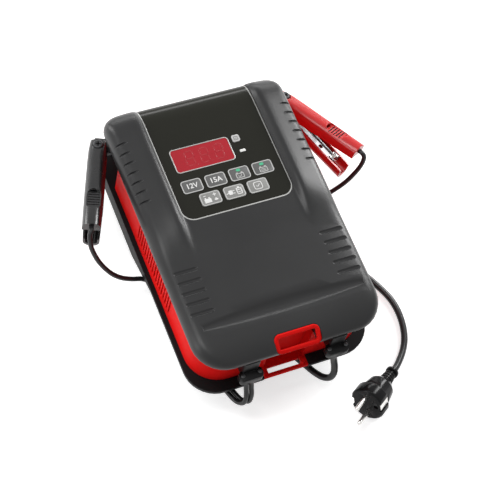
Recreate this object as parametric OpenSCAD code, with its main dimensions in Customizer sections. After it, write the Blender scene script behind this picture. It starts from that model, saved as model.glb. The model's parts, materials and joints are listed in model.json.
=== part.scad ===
// Car battery charger lying on its back: +Z is the front face's normal, +Y the display end,
// +X the right-hand side seen from the front. The origin is the centre of the base, on the floor.

/* [Body] */
// Width of the body across both shells
body_width = 192; // [184:1:204]
// Length of the body from the cord end to the display end
body_length = 287.4; // [284:0.2:300]
// How far the middle of the body lies past the middle of the base, towards the display end
body_shift = 1.3; // [0:0.1:2]
// Corner radius of both shells at the cord end
cord_end_radius = 32; // [28:1:38]
// Corner radius of both shells at the display end
display_end_radius = 16; // [12:1:20]
// Thickness of the moulded walls
wall = 2.6; // [2:0.1:3.2]
// Height of the back shell
back_shell_height = 13.5; // [12:0.5:18]
// Radius of the back shell's lower edge
back_edge_radius = 11; // [8:0.5:11.5]
// How much deeper the back shell is under the display half
hump_depth = 14.5; // [12:0.5:14.5]
// Height of the red band between the two shells
band_height = 53.3; // [48:0.1:60]
// How far the red band stands back from the shells' edges
band_inset = 5; // [4:0.5:7]
// How far its end wall stands back at the cord end
band_end_inset = 11.3; // [9:0.1:13]
// Corner radius of the red band at the cord end
band_radius = 33; // [28:1:36]
// Gap between pieces that are assembled against each other
fit_gap = 0.3; // [0.25:0.05:0.4]

/* [Front shell] */
// Height of the front shell from its lower rim to the lower face
crown_height = 13.4; // [12:0.2:16]
// Height of the display panel's surface above the lower face
panel_rise = 2; // [1.5:0.1:3]
// Height of the two long shoulders above the panel
shoulder_rise = 6; // [4:0.5:8]
// Straight height of the rim below its rounding
rim_height = 2; // [1:0.5:3]
// Width of the rounding along the two long sides
side_round = 10; // [7:0.5:12]
// Length of the rounding at the cord end
cord_end_round = 39; // [32:1:44]
// Length of the rounding at the display end
display_end_round = 26; // [20:1:30]
// Distance between the grip grooves and between the edge notches
groove_step = 11.2; // [9:0.1:12]
// Depth of the grip grooves
groove_depth = 1.2; // [0.8:0.1:1.5]
// Length of a grip groove
groove_length = 26; // [20:1:28]
// Depth of an edge notch at its ends
notch_depth = 0.5; // [0.3:0.1:0.7]
// Length of an edge notch
notch_length = 13; // [9:0.5:14]
// Half the width of the lens-shaped scoop
scoop_half_width = 83; // [70:0.5:86]
// Depth of the lens-shaped scoop
scoop_depth = 3.2; // [2:0.1:4]

/* [Display panel] */
// Width of the display panel
panel_width = 115.2; // [108:0.2:118]
// Thickness of the display panel
panel_thick = 2.4; // [2:0.1:3]
// Distance from the body's middle to the panel's lower edge
panel_low = 8.4; // [4:0.2:14]
// Corner radius of the panel's lower corners
panel_corner = 12; // [8:1:16]
// Width of the bright line round the panel
trim_width = 1.2; // [0.8:0.1:1.6]
// Width of the red display window
window_width = 60.4; // [54:0.2:64]
// Height of the red display window
window_height = 25.3; // [20:0.1:28]
// Pitch of the keys along a row
key_pitch = 25; // [24:0.1:26]
// Distance between the two rows of keys
row_step = 18; // [17:0.1:19]
// Width of a key
key_width = 21.2; // [18:0.1:22]
// Height of a key
key_height = 14.4; // [12:0.1:15.5]
// Side of the small square key
small_key = 8; // [7:0.1:10]
// Running gap round a key
key_gap = 0.25; // [0.2:0.05:0.35]
// Travel of a key
key_travel = 0.6; // [0.4:0.1:0.8]

/* [Cord store] */
// Half the width of the outer turns
wind_half_width = 72; // [70:1:75]
// Half the length of the outer turns
wind_half_length = 104; // [100:1:106]
// Corner radius of the outer turns
wind_radius = 40; // [36:1:44]
// Thickness of the rear flange
flange_thick = 3.5; // [3:0.5:4]
// Diameter of the mains cord
mains_dia = 7; // [6.8:0.1:7]
// Diameter of each battery lead
lead_dia = 4.9; // [4.6:0.1:5]
// Turns of the mains cord on the hub, in ring counts of a twenty-fourth
mains_rings = 65; // [41:24:65]
// Whole turns of the battery leads on the hub
lead_turns = 2; // [1:1:2]

/* [Clamps] */
// Width of a clamp's insulated handle
clamp_width = 19.4; // [19:0.1:20.4]
// Length of a handle from the pivot to its end
handle_length = 80; // [76:1:84]
// Length of the jaws from the pivot to their tips
jaw_length = 28.5; // [28:0.5:31]
// Length of the insulation in front of the pivot
nose_length = 27; // [26:0.5:28]
// Angle of each handle from the jaws' line
handle_angle = 13; // [12:0.5:14]
// Thickness of the steel plates
plate_thick = 1.2; // [1:0.1:1.4]
// Diameter of the pivot rivet
rivet_dia = 5; // [4.6:0.1:5.4]
// Thickness of the parking lug that the jaws hold
lug_thick = 7; // [6:0.5:7.5]

/* [Plug] */
// Diameter of the plug's front
plug_dia = 37; // [35:0.5:38]
// Distance between the two pins
pin_spacing = 19; // [18.9:0.1:19.1]
// Diameter of a pin
pin_dia = 4.8; // [4.7:0.1:4.9]
// Length of a pin
pin_length = 19; // [18:0.5:19.5]

/* [Hidden] */

// Shared levels, all measured from the floor
half_width = body_width / 2;
display_end = body_length / 2 + body_shift;
cord_end = body_length / 2 - body_shift;
layer_gap = 0.6;
mains_low_z = flange_thick + 0.5 + mains_dia / 2;
mains_high_z = mains_low_z + mains_dia + layer_gap;
lead_low_z = mains_high_z + mains_dia / 2 + layer_gap + lead_dia / 2;
lead_high_z = lead_low_z + lead_dia + 2 * layer_gap;
shell_base_z = lead_high_z + lead_dia / 2 + layer_gap;
band_low_z = shell_base_z + back_shell_height;
rim_z = band_low_z + band_height;
face_z = rim_z + crown_height;
panel_z = face_z + panel_rise;
steps = 9;

// ---- curves shared by the front shell and the panel

function smooth(t) = t <= 0 ? 0 : t >= 1 ? 1 : t * t * (3 - 2 * t);
function quarter_round(t) = t >= 1 ? 1 : t <= 0 ? 0 : sqrt(1 - (1 - t) * (1 - t));
function end_round(y) = min(quarter_round((cord_end + y) / cord_end_round),
    quarter_round((display_end - y) / display_end_round));
function round_over(z, y) = rim_z + rim_height + (z - rim_z - rim_height) * end_round(y);

// ---- outlines in plan

function arc(cx, cy, r, a, b) = [for (i = [0:steps]) let (t = a + (b - a) * i / steps)
    [cx + r * cos(t), cy + r * sin(t)]];
function plan(inset, end, c) =
    let (w = half_width - inset, l = display_end - inset, d = max(display_end_radius - inset, 1))
    concat(arc(w - d, l - d, d, 0, 90), arc(d - w, l - d, d, 90, 180),
        arc(c - w, c - end, c, 180, 270), arc(w - c, c - end, c, 270, 360));
function plan_points(inset) = plan(inset, cord_end - inset, cord_end_radius - inset);
function band_points(inner) = plan(band_inset + inner, cord_end - band_end_inset - inner, band_radius - inner);
function box_points(w, l, r) = concat(arc(w - r, l - r, r, 0, 90), arc(r - w, l - r, r, 90, 180),
    arc(r - w, r - l, r, 180, 270), arc(w - r, r - l, r, 270, 360));

// ---- pockets shared by both shells and the band

seat_inset = band_inset + wall;
seat_end = cord_end - band_end_inset - wall;
seat_radius = band_radius - wall;
pocket_radius = 37;
pocket_x = half_width + 14;
pocket_y = display_end - 15;
hanger_half = 23.4;
recess_half = 20.8;
recess_depth = 21.3;

// The two display-end corners where the clamps park, cleared by a grown radius
module corner_pockets(grow, low, high) {
    for (side = [-1, 1])
        translate([side * pocket_x, pocket_y, low]) cylinder(r = pocket_radius + grow, h = high - low, $fn = 72);
}

// The open recess behind the hanging loop at the cord end
module end_recess(half, grow, low, high) {
    translate([-half - grow, -cord_end - 1, low])
        cube([2 * (half + grow), recess_depth + grow + 1, high - low]);
}

// ---- base: rear flange, pads and screws

flange_half_width = wind_half_width + mains_dia / 2 + 2.5;
flange_half_length = wind_half_length + mains_dia / 2 + 2.5;
flange_screw_x = 41.5;
flange_screw_y = 62;
keyhole_x = 34;
keyhole_y = 30;
keyhole_head = 4.5;
keyhole_neck = 2.2;
keyhole_slot = 9;
pad_radius = 9;
pad_thick = 1;
pad_x = 58;
pad_y = 84;
screw_radius = 1.9;
screw_head = 3.6;
screw_recess = 2;
screw_boss = 5;

module at_four(x, y) {
    for (sx = [-1, 1], sy = [-1, 1]) translate([sx * x, sy * y, 0]) children();
}

module rear_flange() {
    color([0.13, 0.13, 0.14]) difference() {
        linear_extrude(flange_thick) polygon(box_points(flange_half_width, flange_half_length, wind_radius + 4));
        at_four(pad_x, pad_y) translate([0, 0, -1]) cylinder(r = pad_radius + fit_gap, h = pad_thick + 1, $fn = 48);
        at_four(flange_screw_x, flange_screw_y) {
            translate([0, 0, -1]) cylinder(r = screw_radius + fit_gap, h = flange_thick + 2, $fn = 32);
            translate([0, 0, -1]) cylinder(r = screw_head + fit_gap, h = screw_recess + 1, $fn = 32);
        }
        for (sx = [-1, 1]) translate([sx * keyhole_x, keyhole_y, -1]) {
            cylinder(r = keyhole_head, h = flange_thick + 2, $fn = 48);
            translate([-keyhole_neck, 0, 0]) cube([2 * keyhole_neck, keyhole_slot, flange_thick + 2]);
            translate([0, keyhole_slot, 0]) cylinder(r = keyhole_neck, h = flange_thick + 2, $fn = 32);
        }
    }
}

module base_pads() {
    color([0.08, 0.08, 0.08]) at_four(pad_x, pad_y) cylinder(r = pad_radius, h = pad_thick, $fn = 48);
}

module flange_screws() {
    color("silver") at_four(flange_screw_x, flange_screw_y) difference() {
        union() {
            translate([0, 0, 0.4]) cylinder(r = screw_head, h = screw_recess - 0.4, $fn = 32);
            cylinder(r = screw_radius, h = flange_thick + 8, $fn = 24);
        }
        translate([0, 0, -0.1]) cylinder(r = 1.4, h = 1.2, $fn = 6);
    }
}

// ---- back shell: rounded tray with the stepped hub that the cords wind on

hub_clear = 1;
hub_ledge = 3;
mains_pitch = mains_dia + layer_gap;
lead_pitch = 2 * lead_dia + 4 * layer_gap;
lead_rings = 24 * lead_turns + 12;
mains_turn_depth = mains_pitch * mains_rings / 48;
lead_turn_depth = lead_pitch * lead_rings / 48;
pair_spacing = lead_dia + layer_gap;
mains_core = mains_turn_depth + mains_dia / 2 + hub_clear;
lead_core = lead_turn_depth + pair_spacing + lead_dia / 2 + hub_clear;
hub_step_z = mains_high_z + mains_dia / 2;

edge_steps = 5;

module tray() {
    hull() for (i = [0:edge_steps]) let (a = 90 * i / edge_steps, up = back_edge_radius * (1 - sin(a)))
        translate([0, 0, shell_base_z + up]) linear_extrude(back_shell_height - up)
            polygon(plan_points(back_edge_radius * (1 - cos(a))));
}

hump_fade = -20;
hump_start = 30;
hump_hollow = hump_start + 14;
store_clear = mains_dia / 2 + 1.5;
lead_way_half = 8;

module side_part(inset, low, length) {
    intersection() {
        polygon(plan_points(inset));
        translate([-half_width, low]) square([2 * half_width, length]);
    }
}
// The deeper half of the tray, with a straight ramp from the shallow one
module hump() {
    hull() for (i = [0:edge_steps])
        let (a = 90 * i / edge_steps, up = back_edge_radius * (1 - sin(a)), inset = back_edge_radius * (1 - cos(a))) {
            translate([0, 0, shell_base_z - hump_depth + up]) linear_extrude(back_shell_height + hump_depth - up)
                side_part(inset, hump_start, body_length);
            translate([0, 0, shell_base_z + up]) linear_extrude(back_shell_height - up)
                side_part(inset, hump_fade, 1);
        }
}
module store_outline(grow) {
    polygon(box_points(wind_half_width + store_clear + grow, wind_half_length + store_clear + grow,
        wind_radius + store_clear + grow));
}
// What stays open under the tray: the cord store, and a way out for each battery lead
module cord_ways() {
    low = shell_base_z - hump_depth - 1;
    translate([0, 0, low]) linear_extrude(hump_depth + 1) {
        store_outline(0);
        translate([-half_width - 1, -1 - lead_way_half]) square([half_width, 2 * lead_way_half]);
        translate([0, hump_start - lead_way_half]) square([half_width + 1, 2 * lead_way_half]);
    }
}

module hub_core(depth, grow, low, high) {
    translate([0, 0, low]) linear_extrude(high - low)
        polygon(box_points(wind_half_width - depth - grow, wind_half_length - depth - grow,
            wind_radius - depth - grow));
}

module back_shell() {
    color([0.14, 0.14, 0.15]) at_four(post_x, post_y)
        translate([0, 0, shell_base_z + wall / 2]) cylinder(r = 3, h = power_z - shell_base_z - wall / 2, $fn = 24);
    color([0.14, 0.14, 0.15]) difference() {
        union() {
            tray();
            hump();
        }
        cord_ways();
        difference() {
            union() {
                translate([0, 0, shell_base_z + wall]) linear_extrude(back_shell_height) polygon(band_points(wall));
                translate([0, 0, shell_base_z - hump_depth + wall]) linear_extrude(hump_depth + 1) difference() {
                    polygon(band_points(wall));
                    store_outline(wall);
                    translate([-half_width, -cord_end]) square([body_width, cord_end + hump_hollow]);
                }
            }
            corner_pockets(wall, 0, rim_z);
            end_recess(hanger_half, wall, 0, rim_z);
        }
        end_recess(hanger_half, fit_gap, 0, rim_z);
        hub_core(lead_core, wall + hub_ledge, shell_base_z - 1, band_low_z);
    }
}

// Stepped hub between the flange and the tray, open inside but for its screw bosses
module cord_hub() {
    color([0.14, 0.14, 0.15]) difference() {
        union() {
            hub_core(mains_core, 0, flange_thick, hub_step_z);
            hub_core(lead_core, 0, flange_thick, shell_base_z);
        }
        difference() {
            hub_core(lead_core, wall, flange_thick - 1, band_low_z);
            at_four(flange_screw_x, flange_screw_y) cylinder(r = screw_boss, h = shell_base_z, $fn = 32);
        }
        at_four(flange_screw_x, flange_screw_y)
            cylinder(r = screw_radius + 0.05, h = flange_thick + 10, $fn = 24);
    }
}

// ---- red band between the shells

vent_count = 18;
vent_pitch = 5;
vent_width = 2.4;
vent_high_y = 33;
vent_margin = 9;

module band_outline(inner) {
    difference() {
        polygon(band_points(inner));
        for (side = [-1, 1]) translate([side * pocket_x, pocket_y]) circle(r = pocket_radius + inner, $fn = 72);
        translate([-recess_half - inner, -cord_end - 1]) square([2 * (recess_half + inner), recess_depth + inner + 1]);
    }
}

module mid_frame() {
    color([0.85, 0.1, 0.1]) difference() {
        translate([0, 0, band_low_z]) linear_extrude(band_height) difference() {
            band_outline(0);
            band_outline(wall);
        }
        for (side = [-1, 1], i = [0:vent_count - 1])
            translate([side * (half_width - band_inset) - 5, vent_high_y - i * vent_pitch - vent_width / 2,
                band_low_z + vent_margin])
                cube([10, vent_width, band_height - 2 * vent_margin]);
    }
}

// ---- front shell: a crown lofted from sections along Y

panel_half = panel_width / 2;
shoulder_foot = panel_half + trim_width;
shoulder_crest = shoulder_foot + 6;
shoulder_fade_high = 28;
shoulder_fade_low = -32;
ramp_low = -26;
ramp_high = 6;
ramp_lip = 0.8;
end_arch = 0.6;
end_sections = 8;
mid_sections = 22;
side_points = 5;
ceiling_z = panel_z - panel_thick - fit_gap - wall;
board_top_z = panel_z - 15;

function cord_limit(inset) = inset > 0 ? seat_end : cord_end;
function half_width_at(y, inset) =
    let (w = half_width - inset, l = display_end - inset, e = cord_limit(inset))
    let (c = inset > 0 ? seat_radius : cord_end_radius, d = max(display_end_radius - inset, 1))
    y < c - e ? w - c + sqrt(max(c * c - pow(c - e - y, 2), 0)) :
    y > l - d ? w - d + sqrt(max(d * d - pow(y - l + d, 2), 0)) : w;
function ramp(y) = (panel_rise + ramp_lip) * smooth((y - ramp_low) / (ramp_high - ramp_low));
function shoulder(x, y) = shoulder_rise * smooth((y - shoulder_fade_low) / (shoulder_fade_high - shoulder_fade_low))
    * smooth((x - shoulder_foot + 1) / (shoulder_crest - shoulder_foot))
    * (1 - 0.9 * smooth((x - shoulder_crest) / (half_width - side_round - shoulder_crest + 4)));
function rim_top(x, y) = rim_z + rim_height + end_arch * (1 - pow(x / half_width, 2)) * (1 - end_round(y));
function crown_z(x, y) =
    let (top = face_z + ramp(y) + shoulder(abs(x), y), rim = rim_top(x, y))
    let (edge = quarter_round((half_width_at(y, 0) - abs(x)) / side_round))
    rim + (top - rim) * edge * end_round(y);
function ceiling(x, y) = min(crown_z(x, y) - wall, round_over(ceiling_z, y));

// Stations along Y, closer together where the two ends round over
function stations(inset) =
    let (l = display_end - inset, e = cord_limit(inset))
    concat([for (i = [0:end_sections]) -e + cord_end_round * (1 - cos(90 * i / end_sections))],
        [for (i = [1:mid_sections - 1]) cord_end_round - e
            + (l + e - cord_end_round - display_end_round) * i / mid_sections],
        [for (i = [end_sections:-1:0]) l - display_end_round * (1 - cos(90 * i / end_sections))]);
// Positions across one section, from the middle out to the edge
function across(y, inset) =
    let (w = half_width_at(y, inset), flat = max(w - side_round, 1), k = flat / (half_width - side_round))
    concat([for (x = [0, 20, 40, panel_half - 3, panel_half, shoulder_foot + 1, shoulder_foot + 3,
        shoulder_crest, shoulder_crest + 4, shoulder_crest + 9, shoulder_crest + 15]) x * k],
        [for (i = [0:side_points]) flat + (w - flat) * sin(90 * i / side_points)]);
function section(y, inset) =
    let (x = across(y, inset), n = len(x) - 1, low = inset > 0 ? rim_z - 1 : rim_z)
    concat([[-x[n], y, low]],
        [for (i = [n:-1:1]) [-x[i], y, inset > 0 ? ceiling(x[i], y) : crown_z(x[i], y)]],
        [for (i = [0:n]) [x[i], y, inset > 0 ? ceiling(x[i], y) : crown_z(x[i], y)]],
        [[x[n], y, low]]);

// Skin through a list of sections that all have the same number of points
module loft(sections) {
    n = len(sections[0]);
    m = len(sections);
    polyhedron(points = [for (s = sections, p = s) p],
        faces = concat([[for (i = [0:n - 1]) i]], [[for (i = [n - 1:-1:0]) (m - 1) * n + i]],
            [for (j = [0:m - 2], i = [0:n - 1]) let (a = j * n + i, b = j * n + (i + 1) % n) [a, a + n, b]],
            [for (j = [0:m - 2], i = [0:n - 1]) let (a = j * n + i, b = j * n + (i + 1) % n) [b, a + n, b + n]]));
}

module crown(inset) {
    loft([for (y = stations(inset)) section(y, inset)]);
}

// A groove along X with round ends, at its own height at either end
module groove(x, y, z, length, radius) {
    hull() for (i = [0, 1]) translate([x + (2 * i - 1) * (length / 2 - radius), y, z[i]])
        sphere(r = radius, $fn = 16);
}
// The same, cut to an even depth into the crown's outer slope
module notch(side, y) {
    reach = notch_length / 2 - notch_radius;
    sink = notch_radius - notch_depth;
    ends = [for (d = [-side, side]) crown_z(notch_x + d * reach, y) + sink];
    groove(side * notch_x, y, ends, notch_length, notch_radius);
}

boss_radius = 3.5;
boss_x = panel_half - 9.6;
boss_low_y = panel_low + 11.6;
boss_high_y = boss_low_y + 88;
groove_radius = 2.6;
groove_x = 76.2;
groove_high_y = -40.7;
groove_count = 5;
notch_radius = 1.3;
notch_x = 88;
notch_high_y = 106.4;
notch_count = 7;
scoop_x = 1.4;
scoop_y = -101;
scoop_end_half = 3;
scoop_high_bulge = 6.6;
scoop_low_bulge = 4.1;
scoop_spans = 20;
scoop_sides = 4;

// One cross-section of the hollow: widest and deepest in the middle, a parabola along its floor
function scoop_section(i) =
    let (x = scoop_half_width * (2 * i / scoop_spans - 1), k = 1 - pow(x / scoop_half_width, 2))
    let (high = scoop_y + scoop_end_half + scoop_high_bulge * k)
    let (low = scoop_y - scoop_end_half - scoop_low_bulge * k, mid = (high + low) / 2, half = (high - low) / 2)
    let (deep = scoop_depth * (0.3 + 0.7 * k))
    concat([[x, mid + 1.03 * half, face_z + 3], [x, mid - 1.03 * half, face_z + 3]],
        [for (j = [-scoop_sides:scoop_sides]) let (t = 1.03 * j / scoop_sides)
            [x, mid + t * half, face_z - deep * (1 - t * t)]]);
module scoop() {
    translate([scoop_x, 0, 0]) loft([for (i = [0:scoop_spans]) scoop_section(i)]);
}

bezel_tilt = 33;
bezel_x = 2;
bezel_y = -134.8;
bezel_z = face_z - 7.7;
bezel_height = 19;
bezel_corner = 6;
bezel_thick = 4.5;
bezel_bar = 4;

module bezel_place() {
    translate([bezel_x, bezel_y, bezel_z]) rotate([bezel_tilt, 0, 0]) children();
}
module bezel_shape(inner) {
    polygon(box_points(hanger_half - inner, bezel_height / 2 - inner, bezel_corner - inner));
}

module front_shell() {
    color([0.16, 0.16, 0.17]) difference() {
        union() {
            difference() {
                crown(0);
                difference() {
                    crown(seat_inset);
                    corner_pockets(wall, rim_z - 2, face_z + 20);
                    end_recess(recess_half, wall, rim_z - 2, face_z + 20);
                }
            }
            for (x = [-boss_x, boss_x], y = [boss_low_y, boss_high_y]) translate([x, y, board_top_z])
                cylinder(r = boss_radius, h = ceiling_z + 1 - board_top_z, $fn = 20);
        }
        panel_block(fit_gap, panel_thick + fit_gap, trim_width);
        for (p = key_places) translate([p[0], p[1], face_z - 12])
            cylinder(r = stem_radius + 0.6, h = 30, $fn = 20);
        translate([window_x, window_y, face_z - 10])
            linear_extrude(20) square([window_width - 8, window_height - 6], center = true);
        for (side = [-1, 1], i = [0:groove_count - 1])
            groove(side * groove_x, groove_high_y - i * groove_step,
                (face_z + groove_radius - groove_depth) * [1, 1], groove_length, groove_radius);
        for (side = [-1, 1], i = [0:notch_count - 1]) notch(side, notch_high_y - i * groove_step);
        scoop();
        bezel_place() translate([0, 0, -bezel_thick / 2]) linear_extrude(20) bezel_shape(-fit_gap);
        bezel_place() translate([0, 0, -30])
            linear_extrude(40) square([2 * (hanger_half - bezel_bar), bezel_height - bezel_bar], center = true);
    }
}

// ---- hanging loop and its bezel

loop_thick = 4.5;
loop_slot_half = 17.8;
loop_setback = 0.6;
loop_bar = 3.4;
loop_slot_width = 6;
loop_floor = 1.6;

// Slotted tongue whose floor lies a little below its two arms and front bar
module hanger_loop() {
    y0 = loop_setback - cord_end;
    color([0.9, 0.12, 0.12]) translate([0, 0, band_low_z - loop_thick]) {
        difference() {
            translate([-hanger_half, y0, 0])
                cube([2 * hanger_half, recess_depth - loop_setback, loop_thick]);
            translate([-loop_slot_half, y0 + loop_bar, -1])
                cube([2 * loop_slot_half, loop_slot_width, loop_thick + 2]);
            translate([-loop_slot_half, y0 + loop_bar, loop_thick - loop_floor])
                cube([2 * loop_slot_half, recess_depth, loop_thick]);
        }
        translate([loop_slot_half + 0.2, y0 + loop_bar + 1, loop_thick]) cylinder(r = 2.3, h = 5, $fn = 32);
    }
}

module hanger_bezel() {
    color([0.9, 0.12, 0.12]) bezel_place() translate([0, 0, fit_gap - bezel_thick / 2])
        linear_extrude(bezel_thick) difference() {
            bezel_shape(0);
            bezel_shape(bezel_bar);
        }
}

// ---- display panel, its trim, window, lenses and keys

window_x = -15.1;
window_y = 73.2;
key_row_high = 43.3;
key_row_low = key_row_high - row_step;
small_key_x = 23.8;
small_key_y = 81.9;
led_x = 25.7;
led_y = 67.2;
led_width = 6;
led_height = 3;
key_proud = 0.8;
key_corner = 3;
bezel_line = 1;
panel_end = display_end - 1.6;
curve_steps = 14;

// Places a flat outline at each moving key: small key, battery key, plug key, select key
key_places = [[small_key_x, small_key_y], [-key_pitch, key_row_low], [0, key_row_low], [key_pitch, key_row_low]];
module key_outline(i, grow) {
    w = (i == 0 ? small_key : key_width) / 2 + grow;
    h = (i == 0 ? small_key : key_height) / 2 + grow;
    translate(key_places[i]) polygon(box_points(w, h, min(key_corner, h / 2)));
}

// Side view of the panel: flat, then rounding over the display end
module panel_profile(drop) {
    rounding = [for (i = [curve_steps:-1:1])
        let (y = display_end - display_end_round * (1 - cos(90 * i / curve_steps))) if (y < panel_end) y];
    line = concat([-20], rounding, [panel_end]);
    polygon(concat([for (y = line) [y, round_over(panel_z, y)]],
        [for (i = [len(line) - 1:-1:0]) [line[i], round_over(panel_z, line[i]) - drop]]));
}

// The panel's space, grown sideways by a margin and raised high when it is a cutter
module panel_block(raise, drop, margin) {
    r = panel_corner + margin;
    w = panel_half + margin + raise;
    low = panel_low - margin - raise;
    intersection() {
        translate([-w, 0, 0]) rotate([90, 0, 90]) linear_extrude(2 * w) union() {
            panel_profile(drop);
            if (raise > 0) translate([0, 8]) panel_profile(10);
            if (raise > 0) translate([panel_end - 8, rim_z + rim_height]) square([12, 20]);
        }
        linear_extrude(panel_z + 20) polygon(concat([[w, display_end + 2], [-w, display_end + 2]],
            arc(r - w, low + r, r, 180, 270), arc(w - r, low + r, r, 270, 360)));
    }
}

module window_outline(grow) {
    translate([window_x, window_y]) polygon(box_points(window_width / 2 + grow, window_height / 2 + grow, 3 + grow));
}
module lens_outline(i, grow) {
    translate([(i - 1.5) * key_pitch, key_row_high])
        polygon(box_points(key_width / 2 + grow, key_height / 2 + grow, key_corner));
}
module led_outline(grow) {
    translate([led_x, led_y]) polygon(box_points(led_width / 2 + grow, led_height / 2 + grow, 0.8));
}

module control_panel() {
    color([0.17, 0.17, 0.15]) difference() {
        panel_block(0, panel_thick, 0);
        translate([0, 0, face_z - 5]) linear_extrude(20) {
            window_outline(bezel_line);
            for (i = [0:3]) lens_outline(i, 0);
            led_outline(0);
            for (i = [0:3]) key_outline(i, key_gap);
        }
    }
}

module panel_trim() {
    color([0.72, 0.72, 0.7]) difference() {
        panel_block(0, panel_thick, trim_width);
        translate([0, 0, -1]) linear_extrude(panel_z + 30) projection_of_panel();
    }
}
module projection_of_panel() {
    polygon(concat([[panel_half, display_end + 5], [-panel_half, display_end + 5]],
        arc(panel_corner - panel_half, panel_low + panel_corner, panel_corner, 180, 270),
        arc(panel_half - panel_corner, panel_low + panel_corner, panel_corner, 270, 360)));
}

module display_window() {
    color([0.6, 0.1, 0.13]) translate([0, 0, panel_z - panel_thick]) linear_extrude(panel_thick) window_outline(0);
}
module window_bezel() {
    color([0.75, 0.75, 0.75]) translate([0, 0, panel_z - panel_thick]) linear_extrude(panel_thick + 0.3)
        difference() {
            window_outline(bezel_line);
            window_outline(0);
        }
}
module indicator_lenses() {
    color([0.32, 0.33, 0.33]) translate([0, 0, panel_z - panel_thick]) linear_extrude(panel_thick + 0.3)
        for (i = [0:3]) lens_outline(i, 0);
}
module status_led() {
    color([0.9, 0.9, 0.86]) translate([0, 0, panel_z - panel_thick]) linear_extrude(panel_thick + 0.2) led_outline(0);
}

switch_height = 3.5;
stem_gap = key_travel + 0.1;
stem_radius = 2.6;
module key(i) {
    cap_low = panel_z - panel_thick + 0.9;
    stem_low = board_top_z + switch_height + stem_gap;
    color([0.62, 0.63, 0.62]) {
        translate([0, 0, cap_low]) linear_extrude(panel_z + key_proud - cap_low) key_outline(i, 0);
        translate([key_places[i][0], key_places[i][1], stem_low])
            cylinder(r = stem_radius, h = cap_low - stem_low, $fn = 32);
    }
}
module key_small() { key(0); }
module key_battery() { key(1); }
module key_plug() { key(2); }
module key_select() { key(3); }

// ---- boards and power parts inside

board_thick = 1.6;
control_half_width = boss_x + 6;
control_low_y = boss_low_y - 6;
control_length = boss_high_y - boss_low_y + 12;
module control_board() {
    color([0.1, 0.35, 0.2]) translate([-control_half_width, control_low_y, board_top_z - board_thick])
        cube([2 * control_half_width, control_length, board_thick]);
}
module key_switches() {
    color([0.2, 0.2, 0.2]) for (p = key_places) translate([p[0], p[1], board_top_z]) {
        translate([-3, -3, 0]) cube([6, 6, switch_height - 1]);
        cylinder(r = 1.7, h = switch_height, $fn = 24);
    }
}
module display_module() {
    color([0.25, 0.05, 0.05]) translate([window_x, window_y, board_top_z])
        linear_extrude(9) square([window_width - 8.6, window_height - 6.6], center = true);
}

power_z = shell_base_z + wall + 6;
power_half_width = half_width - 21;
power_half_length = body_length / 2 - 45.7;
post_x = power_half_width - 7;
post_y = power_half_length - 10;
module power_board() {
    color([0.12, 0.38, 0.22]) translate([-power_half_width, -power_half_length, power_z])
        cube([2 * power_half_width, 2 * power_half_length, board_thick]);
}
core_x = -34;
core_y = 40;
core_width = 62;
core_depth = 52;
core_height = 44;
module transformer_core() {
    color([0.3, 0.3, 0.32]) translate([core_x, core_y, power_z + board_thick]) rotate([90, 0, 0])
        translate([0, 0, -core_depth / 2]) linear_extrude(core_depth) difference() {
            translate([-core_width / 2, 0]) square([core_width, core_height]);
            for (side = [-1, 1]) translate([side * 15 - 6, 8]) square([12, core_height - 16]);
        }
}
module transformer() {
    color([0.75, 0.45, 0.2]) translate([core_x, core_y, power_z + board_thick + 8 + fit_gap]) difference() {
        linear_extrude(core_height - 16 - 2 * fit_gap)
            polygon(box_points(21 - fit_gap, core_depth / 2 + 8, 6));
        translate([0, 0, -1]) linear_extrude(core_height)
            square([18 + 2 * fit_gap, core_depth + 2 * fit_gap], center = true);
    }
}
fin_count = 9;
fin_pitch = 6;
fin_thick = 2;
fin_height = 26;
sink_base = 5;
sink_length = 80;
sink_x = 8;
sink_y = 6 - power_half_length;
module heat_sink() {
    color([0.7, 0.7, 0.72]) translate([sink_x, sink_y, power_z + board_thick]) {
        cube([fin_pitch * (fin_count - 1) + fin_thick, sink_length, sink_base]);
        for (i = [0:fin_count - 1])
            translate([i * fin_pitch, 0, sink_base]) cube([fin_thick, sink_length, fin_height]);
    }
}
can_count = 3;
can_radius = 11;
can_height = 34;
can_pitch = 26;
can_x = 23 - power_half_width;
can_y = 18 - power_half_length;
module capacitors() {
    color([0.1, 0.12, 0.2]) for (i = [0:can_count - 1])
        translate([can_x, can_y + i * can_pitch, power_z + board_thick])
            cylinder(r = can_radius, h = can_height, $fn = 40);
}

// ---- cord glands on the end wall

gland_x = 45;
gland_top = rim_z - fit_gap;
gland_height = 20;
gland_width = 15;
gland_out = 12;
gland_bar = 24;
gland_bar_height = 8;
gland_nose = 3;
cord_out = cord_end + 4.2;
gland_back = cord_end - band_end_inset;
gland_low = gland_top - gland_height;

// Block under the shell's rim, with a clamping bar round the cord below it
module gland(x, nose_points) {
    color([0.09, 0.09, 0.1]) {
        translate([x - gland_width / 2, -gland_back - gland_out, gland_low])
            cube([gland_width, gland_out, gland_height]);
        translate([x, -cord_out + 1, gland_low - gland_bar_height])
            linear_extrude(gland_bar_height + 1) polygon(box_points(gland_bar / 2, 5.5, 4));
        translate([x - gland_width / 2, -cord_out + 4, gland_low - gland_bar_height])
            cube([gland_width, cord_out - gland_back - 4, gland_bar_height + 1]);
        translate([x, -cord_out, gland_low - gland_bar_height - gland_nose])
            linear_extrude(gland_nose) polygon(nose_points);
    }
}
module mains_gland() { gland(gland_x, box_points(mains_dia / 2 + 1.2, mains_dia / 2 + 1.2, mains_dia / 2 + 1.1)); }
module lead_gland() { gland(-gland_x, box_points(pair_spacing / 2 + lead_dia / 2 + 1.2, lead_dia / 2 + 1.4, 3)); }
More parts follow.
